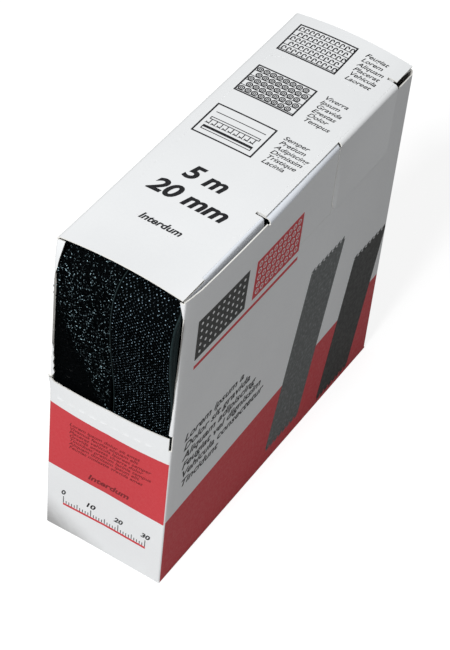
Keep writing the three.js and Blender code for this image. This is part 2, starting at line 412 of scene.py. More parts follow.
@dataclass(frozen=True)
class BoardFinish:
    """Folding board, white on its printed side or grey on its inner side."""

    name: str
    paper: Colour
    mottle: float
    fibre: float
    ink: Colour | None = None
    gloss: float = 0.3
    relief: float = 0.05
    front_band: Point = (28.7, 56.7)
    front_line: Point = (1.2, 0.9)
    front_inset: Point = (0.25, 0.4)
    side_band: Point = (29.0, 0.058)
    side_line: Point = (0.3, 0.2)
    band_inset: Point = (0.45, 0.6)
    band_tilt: float = 0.033
    edge_blur: float = 0.12
    wear_reach: float = 0.55
    wear_depth: float = 0.75
    # Painted shade towards the front's lower left corner: its colour, reach across and up, fade and depth.
    soil: Colour = (0.3, 0.295, 0.29)
    soil_reach: Point = (25.0, 15.0)
    soil_fade: Point = (1.15, -0.1)
    soil_depth: float = 0.95

    def build(self, effects: SharedEffects) -> Material:
        """Make the material.

        Args:
            effects: Shared node groups.

        Returns:
            The board material.
        """
        surface = Surface(self.name)
        place = surface.millimetres()
        colour: Feed = self.paper
        if self.ink is not None:
            colour = self.printed(surface, effects, place)
        grain = effects.place(surface, "paper_grain", place, colour, self.mottle)
        surface.bump(grain.outputs["Height"], self.fibre, self.relief)
        return surface.finish(grain.outputs["Colour"], grain.outputs["Roughness"], self.gloss)

    def printed(self, graph: Graph, effects: SharedEffects, place: Socket) -> Socket:
        """Lay the plain colour bands on the white side, and paint shade on the front that darkens towards its
        lower left corner.

        Args:
            graph: Graph of the material.
            effects: Shared node groups.
            place: Coordinates in millimetres.

        Returns:
            The colour of the printed side.
        """
        wide, deep = effects.plan.half_width, effects.plan.half_depth
        x, y, z = graph.axes(place)
        ripple = graph.math("SUBTRACT", graph.noise(place, 2.4, 2.0), 0.5)
        level = graph.math("ADD", z, graph.times(ripple, self.edge_blur))
        low, high = self.front_band
        on_front = graph.ramp(y, *(inset - deep for inset in self.front_line))
        tilted = graph.math("ADD", level, graph.times(x, self.band_tilt))
        above = graph.ramp(tilted, low, low + self.edge_blur)
        below = graph.ramp(tilted, high + self.edge_blur, high)
        inside = graph.ramp(x, *(wide - inset for inset in self.front_inset))
        front = graph.times(on_front, inside, above, below)
        start, slope = self.side_band
        along = graph.math("ADD", y, deep)
        edge = graph.math("ADD", graph.times(along, slope), start)
        under = graph.ramp(graph.math("SUBTRACT", edge, level), 0.0, self.edge_blur)
        on_side = graph.ramp(x, *(wide - inset for inset in self.side_line))
        side = graph.times(under, on_side, graph.ramp(along, *self.band_inset))
        worn = effects.place(graph, "crease_wear", place, self.wear_reach)
        kept = graph.math("SUBTRACT", 1.0, graph.times(worn.outputs["Mask"], self.wear_depth))
        density = graph.ramp(graph.noise(place, 3.0, 3.0), 0.2, 0.8, 0.97, 1.0)
        cover = graph.times(graph.math("MAXIMUM", front, side), kept, density)
        # Painted shade: the front darkens towards its lower left corner, broken up by noise.
        reach_x, reach_z = self.soil_reach
        across = graph.math("DIVIDE", graph.math("ADD", x, wide), reach_x)
        away = graph.math("ADD", across, graph.math("DIVIDE", z, reach_z))
        shade_patches = graph.ramp(graph.noise(place, 0.35, 3.0), 0.3, 0.7, 0.85, 1.0)
        corner_shade = graph.times(graph.ramp(away, *self.soil_fade, 0.0, self.soil_depth), on_front, shade_patches)
        return graph.mix(cover, graph.mix(corner_shade, self.paper, self.soil), self.ink)


@dataclass(frozen=True)
class InkFinish:
    """Flat printing ink, a little uneven on the board."""

    name: str
    colour: Colour
    pale: Colour
    grain: float = 1.6
    unevenness: float = 0.35
    gloss: float = 0.3
    fibre: float = 0.1
    relief: float = 0.04

    def build(self, effects: SharedEffects) -> Material:
        """Make the material.

        Args:
            effects: Shared node groups.

        Returns:
            The ink material.
        """
        surface = Surface(self.name)
        place = surface.millimetres()
        thin = surface.ramp(surface.noise(place, self.grain, 4.0), 0.45, 0.8, 0.0, self.unevenness)
        grain = effects.place(surface, "paper_grain", place, self.colour, 0.0)
        surface.bump(grain.outputs["Height"], self.fibre, self.relief)
        colour = surface.mix(thin, self.colour, self.pale)
        return surface.finish(colour, grain.outputs["Roughness"], self.gloss)


@dataclass(frozen=True)
class GroundFinish:
    """Woven black ground of a tape."""

    name: str
    yarn: Colour
    lift: Colour
    pitch: float
    gloss: float = 0.02
    fibre: float = 0.6
    relief: float = 0.12

    def build(self, effects: SharedEffects) -> Material:
        """Make the material.

        Args:
            effects: Shared node groups.

        Returns:
            The woven material.
        """
        surface = Surface(self.name)
        across, along = surface.attribute("across"), surface.attribute("along")
        weave = effects.place(surface, "yarn_weave", across, along, self.pitch)
        lint = surface.ramp(surface.noise(surface.millimetres(), 1.5, 4.0), 0.4, 0.75)
        share = surface.times(weave.outputs["Mask"], surface.ramp(lint, 0.0, 1.0, 0.35, 1.0))
        surface.bump(weave.outputs["Height"], self.fibre, self.relief)
        roughness = surface.ramp(lint, 0.0, 1.0, 0.5, 0.75)
        return surface.finish(surface.mix(share, self.yarn, self.lift), roughness, self.gloss)


@dataclass(frozen=True)
class FibreFinish:
    """Black nylon monofilament, with a painted glint of light near the crest of a random few strands."""

    name: str
    deep: Colour
    bright: Colour
    matt: float
    rarity: float
    crest: float
    smooth: float = 0.3
    gloss: float = 0.02

    def build(self, effects: SharedEffects) -> Material:
        """Make the material.

        Args:
            effects: Shared node groups, not used.

        Returns:
            The fibre material.
        """
        surface = Surface(self.name)
        strand = surface.add("ShaderNodeNewGeometry").outputs["Random Per Island"]
        glint_patches = surface.ramp(surface.noise(surface.millimetres(), 0.25, 3.0), 0.35, 0.7, 0.6, 1.0)
        # Painted glint: the colour turns bright near each strand's crest, on a random few strands, broken up
        # by noise.
        crest = surface.ramp(surface.attribute("rise"), self.crest, 1.0)
        share = surface.times(crest, surface.math("POWER", strand, self.rarity), glint_patches)
        roughness = surface.ramp(strand, 0.2, 1.0, self.matt, self.smooth)
        return surface.finish(surface.mix(share, self.deep, self.bright), roughness, self.gloss)


@dataclass(frozen=True)
class CoreFinish:
    """Brown board tube wound from a slanting strip."""

    name: str
    kraft: Colour
    seam: Colour
    strip: float = 26.0
    seam_width: float = 0.02
    mottle: float = 0.35
    gloss: float = 0.15
    fibre: float = 0.3
    relief: float = 0.1

    def build(self, effects: SharedEffects) -> Material:
        """Make the material.

        Args:
            effects: Shared node groups.

        Returns:
            The tube material.
        """
        surface = Surface(self.name)
        place = surface.millimetres()
        x, y, z = surface.axes(place)
        angle = surface.math("ARCTAN2", surface.math("SUBTRACT", z, effects.plan.roll_axis), y)
        turned = surface.math("DIVIDE", angle, math.tau)
        spiral = surface.math("ADD", surface.math("DIVIDE", x, self.strip), turned)
        turn = surface.math("FRACT", surface.math("ADD", spiral, 8.0))
        line = surface.ramp(surface.from_line(turn, 0.5), self.seam_width, 0.0)
        colour = surface.mix(line, self.kraft, self.seam)
        grain = effects.place(surface, "paper_grain", place, colour, self.mottle)
        surface.bump(grain.outputs["Height"], self.fibre, self.relief)
        return surface.finish(grain.outputs["Colour"], grain.outputs["Roughness"], self.gloss)


class Finishes:
    """Every material of the object."""

    def __init__(self, effects: SharedEffects) -> None:
        """Build the materials.

        Args:
            effects: Shared node groups.
        """

        def make(kind: type, name: str, *values: object) -> Material:
            """Build one finish."""
            return kind(name, *values).build(effects)

        red = (0.63, 0.043, 0.055)
        self.white = make(BoardFinish, "coated_board", (0.86, 0.875, 0.885), 0.06, 0.12, red)
        # Unprinted board of the front tuck flap and the tongue, tinted blue to stand in for bluish light on
        # their folds: painted light.
        self.plain = make(BoardFinish, "plain_board", (0.83, 0.87, 0.93), 0.06, 0.12)
        self.raw = make(BoardFinish, "raw_board", (0.6, 0.585, 0.55), 0.3, 0.35)
        self.edge = make(BoardFinish, "cut_edge", (0.84, 0.83, 0.79), 0.15, 0.35)
        self.core = make(CoreFinish, "kraft_tube", (0.36, 0.24, 0.13), (0.2, 0.125, 0.065))
        self.black = make(InkFinish, "black_ink", (0.012, 0.012, 0.014), (0.08, 0.08, 0.085))
        self.deep_red = make(InkFinish, "deep_red_ink", (0.19, 0.016, 0.02), (0.3, 0.025, 0.032), 1.6, 0.8)
        self.red = make(InkFinish, "red_ink", red, (0.72, 0.12, 0.13))
        self.charcoal = make(InkFinish, "charcoal_ink", (0.035, 0.037, 0.035), (0.06, 0.062, 0.06), 0.5, 0.9)
        self.felt = make(InkFinish, "felt_grey_ink", (0.11, 0.12, 0.12), (0.23, 0.245, 0.245), 0.8, 1.0)
        self.pale = make(InkFinish, "pale_ink", (0.8, 0.81, 0.82), (0.7, 0.71, 0.72))
        self.loop_ground = make(
            GroundFinish, "loop_ground", (0.0008, 0.0012, 0.0016), (0.003, 0.0045, 0.006), 0.7
        )
        self.hook_ground = make(
            GroundFinish, "hook_ground", (0.0006, 0.001, 0.0012), (0.006, 0.009, 0.011), 0.6
        )
        # Selvedge colour well above the black ground: partly the plain edge weave, partly painted light so
        # that the tape edges show in the shaded slot beside the carton.
        self.selvedge = make(GroundFinish, "selvedge", (0.02, 0.033, 0.035), (0.045, 0.068, 0.07), 0.5)
        # The fibre finishes paint a glint of light on the crests of the strands.
        self.loop_fibre = make(
            FibreFinish, "loop_fibre", (0.0005, 0.0009, 0.0011), (0.62, 0.9, 1.0), 0.55, 4.6, 0.7
        )
        self.hook_fibre = make(
            FibreFinish, "hook_fibre", (0.0006, 0.001, 0.0012), (0.4, 0.58, 0.7), 0.5, 1.6, 0.86
        )

    def board(self, plain: bool = False) -> tuple[Material, ...]:
        """Give the outer side (printed, or plain with a painted blue tint of light), the inner side and the
        cut edge of the board.
        """
        return self.plain if plain else self.white, self.raw, self.edge


def unit(axis: int) -> Vector:
    """Give the direction of an axis, where 0, 1 and 2 are X, Y and Z."""
    return Vector([float(i == axis) for i in range(3)])


def cut(
    bm: BMesh, axis: int, places: Iterable[float], only: Callable[[Vector], bool] | None = None
) -> None:
    """Cut faces by planes across an axis.

    Args:
        bm: Mesh to cut.
        axis: 0, 1 or 2 for X, Y or Z.
        places: Where the planes lie.
        only: Says by their middles which faces are cut, where not all are.
    """
    normal = unit(axis)
    for place in places:
        faces = [f for f in bm.faces if only is None or only(f.calc_center_median())]
        geom = dict.fromkeys(item for f in faces for item in (*f.verts, *f.edges, f))
        bmesh.ops.bisect_plane(bm, geom=list(geom), dist=1e-5, plane_co=normal * place, plane_no=normal)


def drop(bm: BMesh, test: Callable[[Vector], bool]) -> None:
    """Delete the faces whose middle passes a test."""
    gone = [face for face in bm.faces if test(face.calc_center_median())]
    bmesh.ops.delete(bm, geom=gone, context="FACES")


def right_way(bm: BMesh) -> None:
    """Point every face outwards."""
    bmesh.ops.recalc_face_normals(bm, faces=bm.faces[:])


def thicken(bm: BMesh, amount: float) -> None:
    """Thicken a sheet behind its face, with the second material on its back and the third on its edges.

    Args:
        bm: Sheet to thicken.
        amount: Thickness in millimetres.
    """
    bm.normal_update()
    shown = set(bm.faces)
    result = bmesh.ops.extrude_face_region(bm, geom=bm.faces[:], use_keep_orig=True)
    bm.normal_update()
    behind = set(pick(result["geom"], BMVert))
    moves = [(vert, vert.normal * amount) for vert in behind]
    for vert, move in moves:
        vert.co -= move
    for face in bm.faces:
        face.material_index = 0 if face in shown else 1 if behind.issuperset(face.verts) else 2
    right_way(bm)


def pick(items: Iterable[object], kind: type) -> list:
    """Pick the vertices or the edges out of a list of geometry."""
    return [item for item in items if isinstance(item, kind)]


def ends_of(edges: Iterable[BMEdge]) -> list[BMVert]:
    """List the vertices of a row of edges, each once."""
    return list(dict.fromkeys(vert for edge in edges for vert in edge.verts))


def edges_where(bm: BMesh, test: Callable[[Vector], bool]) -> list[BMEdge]:
    """List the edges whose two ends pass a test."""
    return [edge for edge in bm.edges if all(test(vert.co) for vert in edge.verts)]


def ring_edges(bm: BMesh, verts: Sequence[BMVert]) -> list[BMEdge]:
    """Join vertices into a closed ring of edges."""
    return [bm.edges.new((vert, after)) for vert, after in zip(verts, [*verts[1:], verts[0]])]


def extrude_line(bm: BMesh, edges: Iterable[BMEdge], move: Sequence[float]) -> list[BMEdge]:
    """Draw a row of edges out into a strip of faces.

    Args:
        bm: Mesh to change.
        edges: Edges to draw out.
        move: How far they go.

    Returns:
        The edges at the far side.
    """
    result = bmesh.ops.extrude_edge_only(bm, edges=list(edges))
    bmesh.ops.translate(bm, vec=move, verts=pick(result["geom"], BMVert))
    return pick(result["geom"], BMEdge)


def spin(
    bm: BMesh, edges: Sequence[BMEdge], centre: Sequence[float], axis: int, angle: float, steps: int
) -> list[BMEdge]:
    """Turn a row of edges round an axis into a strip of faces.

    Args:
        bm: Mesh to change.
        edges: Edges to turn.
        centre: Point on the axis.
        axis: 0, 1 or 2 for an axis along X, Y or Z.
        angle: Angle to turn through, closed where it is a whole turn.
        steps: Steps round it.

    Returns:
        The edges at the far end.
    """
    result = bmesh.ops.spin(
        bm, geom=ends_of(edges) + list(edges), cent=centre, axis=unit(axis), dvec=(0.0, 0.0, 0.0),
        angle=angle, steps=steps, use_merge=math.isclose(angle, math.tau),
    )
    return pick(result["geom_last"], BMEdge)


def round_off(bm: BMesh, geom: Sequence[BMEdge | BMVert], size: float, steps: int, what: str) -> None:
    """Round edges or corners off."""
    bmesh.ops.bevel(
        bm, geom=geom, offset=size, offset_type="OFFSET", segments=steps, profile=0.5,
        affect=what, material=-1,
    )


def show(name: str, data: bpy.types.ID) -> bpy.types.Object:
    """Put a mesh, type, lamp or camera into the scene.

    Args:
        name: Name of the object.
        data: What it holds.

    Returns:
        The object.
    """
    thing = bpy.data.objects.new(name, data)
    bpy.context.scene.collection.objects.link(thing)
    return thing


@dataclass
class Workshop:
    """Turns finished meshes into pieces of the object."""

    count: int = 0

    def piece(
        self, shape: BMesh | Mesh, name: str, materials: Sequence[Material], body: Body, slot: Slot,
        nodes: Sequence[str] = (), bend: Bend | None = None, sharp: float = 40.0,
    ) -> None:
        """Make a piece from a mesh in millimetres.

        Args:
            shape: Mesh of the piece.
            name: Name of the piece.
            materials: Its materials in order of their index.
            body: Body that it rides on.
            slot: Material slot of the record, not used.
            nodes: Frame nodes that it stands for.
            bend: Bodies that it bends between, with the start and end of the bend in millimetres.
            sharp: Angle in degrees past which an edge looks sharp.
        """
        if isinstance(shape, BMesh):
            mesh = bpy.data.meshes.new(name)
            shape.to_mesh(mesh)
            shape.free()
        else:
            mesh = shape
        mesh.transform(Matrix.Scale(MM, 4))
        mesh.shade_smooth()
        mesh.set_sharp_from_angle(angle=math.radians(sharp))
        for material in materials:
            mesh.materials.append(material)
        piece = show(name, mesh)
        if bend is None:
            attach(piece, body.value)
        else:
            first, second, start, end = bend
            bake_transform(piece, first.value, second.value, start=tuple(start * MM), end=tuple(end * MM))
        if nodes:
            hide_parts(*nodes)
        self.count += 1
        LOG.info("piece %s: %d faces on %s", name, len(mesh.polygons), body.value)


@dataclass
class SubAssembly:
    """A group of pieces that are built together."""

    plan: CartonPlan
    shop: Workshop
    finishes: Finishes

    def board(
        self, bm: BMesh, name: str, node: str, plain: bool = False, body: Body = Body.CARTON,
        slot: Slot = Slot.PRINTED, bend: Bend | None = None,
    ) -> None:
        """Give a sheet the thickness of the board and make it a piece."""
        thicken(bm, self.plan.board)
        self.shop.piece(bm, name, self.finishes.board(plain), body, slot, [node], bend)


@dataclass
class Sleeve(SubAssembly):
    """The four upright panels of the carton, with the torn front window."""

    top: float = 122.8
    foot: float = 0.42
    crease_steps: int = 4
    corner_rise: Table = ((0.0, 0.0), (0.3, 0.4), (0.8, 0.7), (1.5, 0.8))
    seam_line: float = 0.9
    seam_gap: float = 0.12
    left_tear: Table = (
        (69.3, 20.1), (70.6, 19.7), (72.0, 20.2), (73.1, 19.9), (75.0, 20.3), (76.4, 20.0), (78.5, 20.4),
        (80.0, 20.2), (83.0, 20.6), (108.0, 20.66), (111.0, 20.5), (114.0, 20.1), (117.0, 19.6),
        (120.0, 19.0), (122.8, 18.4),
    )
    right_tear: Table = (
        (68.4, 19.9), (71.0, 20.0), (76.0, 20.3), (84.0, 20.5), (89.0, 20.6), (95.0, 20.75),
        (114.5, 20.75), (117.0, 20.5), (120.0, 20.1), (122.8, 19.5),
    )
    tear_lap: float = 0.02
    tight_line: Table = ((86.0, 0.0), (98.0, 1.0), (116.0, 1.0), (120.5, 0.0))
    tight_crease: float = 0.42
    tight_middle: float = math.radians(-45.0)
    tight_edge: float = math.radians(-53.0)
    tight_span: float = math.radians(60.0)
    tight_reach: float = 2.0
    slit_width: float = 0.8
    slit_inset: float = 0.2
    slit_depth: float = 5.0
    slit_lap: float = 0.09
    burr: float = 1.1
    burr_side: float = 18.2
    burr_run: float = 3.0
    burr_rise: float = 1.8
    burr_from: float = 19.2
    burr_reach: float = 0.5
    sill_tear: Point = (12.0, 20.4)
    sill_tear_fade: float = 5.0
    sill_tear_cuts: int = 5
    sill_tear_range: Point = (-0.35, 0.25)
    sill_tear_seed: int = 7
    dash_line: float = 60.5
    dash_height: float = 0.14
    dash_lip: float = 0.3
    dash_rise: float = 0.09
    dash_length: float = 2.4
    dash_end: float = 0.05
    dash_pitch: float = 3.9
    dash_margin: float = 2.5
    front_levels: tuple[float, ...] = (8.0, 15.0, 22.0, 29.0, 36.0, 43.0, 50.0, 56.0, 64.5)
    front_columns: int = 16
    front_pitch: float = 1.2
    right_levels: tuple[float, ...] = (84.0, 88.0, 92.0, 101.0, 106.0, 111.0, 116.0, 120.0)
    raw_line: Table = ((0.0, 123.7), (3.0, 123.2), (8.0, 122.7), (41.0, 122.6))
    flap_play: float = 0.3
    flap_slit: float = 0.1
    cross_slit: float = 25.0

    def build(self) -> None:
        """Build the panels."""
        self.left_panel()
        self.right_panel()
        self.back_panel()
        self.front_panel()
        self.front_strip()

    def wrap(self) -> BMesh:
        """Draw the outer face of the whole sleeve with its round creases.

        Returns:
            An open tube of faces.
        """
        wide, deep = self.plan.half_width, self.plan.half_depth
        bm = bmesh.new()
        corners = [(-wide, deep), (wide, deep), (wide, -deep), (-wide, -deep)]
        verts = [bm.verts.new((x, y, self.foot)) for x, y in corners]
        extrude_line(bm, ring_edges(bm, verts), (0.0, 0.0, self.top - self.foot))
        right_way(bm)
        upright = [e for e in bm.edges if abs(e.verts[0].co.z - e.verts[1].co.z) > 1.0]
        round_off(bm, upright, self.plan.crease, self.crease_steps, "EDGES")
        return bm

    def side_of(self, middle: Vector) -> Side:
        """Say which panel a place on the sleeve belongs to.

        Args:
            middle: Place on the outer face.

        Returns:
            The panel.
        """
        if middle.y > 0.0 and middle.x < self.seam_line - self.plan.half_width:
            return Side.LEFT
        to_side = self.plan.half_width - abs(middle.x)
        to_end = self.plan.half_depth - abs(middle.y)
        if to_side < to_end:
            return Side.RIGHT if middle.x > 0.0 else Side.LEFT
        return Side.BACK if middle.y > 0.0 else Side.FRONT

    def panel(self, side: Side, tear: Table = ()) -> BMesh:
        """Take one panel out of the sleeve.

        Args:
            side: Panel to keep.
            tear: Heights and distances from the middle of a torn edge on the front, kept with a side panel.

        Returns:
            Its outer face.
        """
        bm = self.wrap()
        seam = self.seam_line - self.plan.half_width
        cut(bm, 0, (seam, seam + self.seam_gap))
        if tear:
            self.tear_window(bm, side, tear)
        else:
            drop(bm, lambda c: self.side_of(c) is not side)
        if side is Side.BACK:
            drop(bm, lambda c: c.x < seam + self.seam_gap)
        return bm

    def tear_window(self, bm: BMesh, side: Side, tear: Table) -> None:
        """Keep the front's torn remainder at one end of the window, with or without the panel beside it.

        Args:
            bm: Whole sleeve.
            side: LEFT keeps the left panel too, FRONT keeps the right remainder alone.
            tear: Heights and distances from the middle of the torn edge.
        """
        low, high = tear[0][0], tear[-1][0]
        hand = -1.0 if side is Side.LEFT else 1.0
        line = self.plan.half_width - self.plan.crease - self.tear_lap
        cut(bm, 2, (z for z, _ in tear))
        cut(bm, 0, (hand * line,))

        def outside(c: Vector) -> bool:
            """Say whether a face is neither the panel nor the remainder."""
            left_over = low < c.z < high and hand * c.x > line and self.side_of(c) is Side.FRONT
            return not left_over and (side is not Side.LEFT or self.side_of(c) is not Side.LEFT)

        drop(bm, outside)
        for vert in bm.verts:
            if abs(hand * vert.co.x - line) < NEAR and vert.co.y < 0.0:
                vert.co.x = hand * read_table(tear, vert.co.z)

    def left_panel(self) -> None:
        """Build the left panel, with what the torn window leaves beyond its front crease."""
        bm = self.panel(Side.LEFT, self.left_tear)
        cut(bm, 2, (self.plan.sill,))
        crease = self.plan.crease - self.plan.half_depth
        drop(bm, lambda c: self.plan.sill < c.z < self.left_tear[0][0] and c.y < crease)
        cut(bm, 1, (-self.plan.forward_from,))
        for vert in bm.verts:
            if vert.co.z > self.top - NEAR and vert.co.y < 0.0:
                vert.co.z += read_table(self.corner_rise, self.plan.half_width + vert.co.x)
        self.bring_forward(bm)
        self.board(bm, "left_panel_board", "left_side_panel")

    def bring_forward(self, bm: BMesh) -> None:
        """Bring the left crease of a panel forward."""
        for vert in bm.verts:
            vert.co.y -= self.plan.forward(vert.co)

    def tighten(self, bm: BMesh) -> None:
        """Draw the front right crease tight where the window is torn right up to it.

        Args:
            bm: Face of the right panel or of the torn strip.
        """
        plan, middle = self.plan, self.tight_middle
        corner = Vector((plan.half_width - plan.crease, plan.crease - plan.half_depth))
        inner = Vector((plan.half_width - self.tight_crease, self.tight_crease - plan.half_depth))
        for vert in bm.verts:
            if vert.co.x < corner.x - self.tight_reach or vert.co.y > corner.y:
                continue
            share = read_table(self.tight_line, vert.co.z)
            angle = math.atan2(vert.co.y - corner.y, vert.co.x - corner.x)
            if angle < middle:
                angle = middle + (self.tight_edge - middle) * (middle - angle) / self.tight_span
            tight = inner + self.tight_crease * Vector((math.cos(angle), math.sin(angle)))
            vert.co.x += share * (tight.x - vert.co.x)
            vert.co.y += share * (tight.y - vert.co.y)

    def right_panel(self) -> None:
        """Build the right panel: raw top edge, and the cuts beside the rear flap."""
        plan = self.plan
        bm = self.panel(Side.RIGHT)
        slit = plan.rear_flap[0] - self.flap_play
        start = slit - self.cross_slit
        foot = plan.flap_foot - self.flap_play
        back = plan.half_depth
        notch = self.raw_line[-1][0] - back
        slit_foot, slit_top = plan.sill - self.slit_depth, self.right_tear[0][0]
        crease = plan.half_width - self.slit_lap
        cut(bm, 2, (*self.right_levels, foot, foot + self.flap_slit, plan.raw_edge))
        cut(bm, 1, (start, slit, slit + self.flap_slit, *(s - back for s, _ in plan.right_bulge[1:])))
        cut(bm, 2, (slit_foot, slit_top))
        drop(bm, lambda c: slit_foot < c.z < slit_top and c.x < crease)
        drop(bm, lambda c: c.z > plan.raw_edge and c.y > notch)
        drop(bm, lambda c: c.z > foot and slit < c.y < slit + self.flap_slit)
        drop(bm, lambda c: foot < c.z < foot + self.flap_slit and start < c.y < slit)
        for vert in bm.verts:
            if vert.co.z > plan.raw_edge + NEAR:
                vert.co.z = read_table(self.raw_line, vert.co.y + back)
            vert.co.x += plan.right_out(vert.co.y, vert.co.z)
        self.tighten(bm)
        self.board(bm, "right_panel_board", "right_side_panel")

    def back_panel(self) -> None:
        """Build the back panel, whose raw edge lies on the seam."""
        self.board(self.panel(Side.BACK), "back_panel_board", "back_panel")

    def front_panel(self) -> None:
        """Build the lower front: bowed, perforated, torn along its sill and slit at the right."""
        plan = self.plan
        bm = self.panel(Side.FRONT)
        slit = plan.half_width - plan.crease - self.slit_inset
        slit_foot = plan.sill - self.slit_depth
        columns = range(-self.front_columns, self.front_columns + 1)
        cut(bm, 2, sorted((*self.front_levels, slit_foot, plan.sill)))
        cut(bm, 0, (slit, *(i * self.front_pitch for i in columns)))
        drop(bm, lambda c: c.z > plan.sill)
        drop(bm, lambda c: slit_foot < c.z and slit < c.x < slit + self.slit_width)
        self.perforate(bm)
        self.tear(bm)
        for vert in bm.verts:
            left = -vert.co.x
            if vert.co.z > plan.sill - self.burr_reach:
                share = clamp((left - self.burr_from) / (plan.half_width - self.burr_from))
                vert.co.z += self.burr_rise * share
            vert.co.y -= plan.front_out(vert.co.x, vert.co.z)
            up = clamp((vert.co.z - plan.sill) / self.burr_run + 1.0)
            vert.co.x -= self.burr * up * clamp((left - self.burr_side) / self.burr_run)
        self.bring_forward(bm)
        self.board(bm, "front_panel_board", "front_panel")

    def perforate(self, bm: BMesh) -> None:
        """Cut the dashed line below the sill.

        Args:
            bm: Face of the front panel.
        """
        inside = self.plan.half_width - self.plan.board
        low, high = self.dash_line, self.dash_line + self.dash_height
        lip, length = high + self.dash_lip, self.dash_length
        cut(bm, 2, (low, high, lip))
        room = 2.0 * (inside - self.dash_margin) - length
        count = int(room / self.dash_pitch) + 1
        dashes = [self.dash_margin - inside + i * self.dash_pitch for i in range(count)]
        cut(bm, 0, (x for dash in dashes for x in (dash, dash + length)), lambda c: low < c.z < lip)
        drop(bm, lambda c: low < c.z < high and any(d < c.x < d + length for d in dashes))
        for vert in bm.verts:
            inner = any(d + self.dash_end < vert.co.x < d + length - self.dash_end for d in dashes)
            if inner and abs(vert.co.z - high) < NEAR:
                vert.co.y -= self.dash_rise

    def tear(self, bm: BMesh) -> None:
        """Roughen the torn edge at the left of the sill.

        Args:
            bm: Face of the front panel.
        """
        rng = random.Random(self.sill_tear_seed)
        start, end = self.sill_tear
        edge = self.plan.sill - NEAR
        rim = edges_where(bm, lambda c: c.z > edge)
        torn = [e for e in rim if e.is_boundary and e.verts[0].co.x < -start]
        bmesh.ops.subdivide_edges(bm, edges=torn, cuts=self.sill_tear_cuts)
        for vert in bm.verts:
            if vert.co.z > edge and vert.is_boundary and -end < vert.co.x < -start:
                fade = clamp((-start - vert.co.x) / self.sill_tear_fade)
                vert.co.z += rng.uniform(*self.sill_tear_range) * fade

    def front_strip(self) -> None:
        """Build the torn strip left at the right of the window."""
        bm = self.panel(Side.FRONT, self.right_tear)
        self.tighten(bm)
        self.board(bm, "front_strip_board", "front_right_strip")


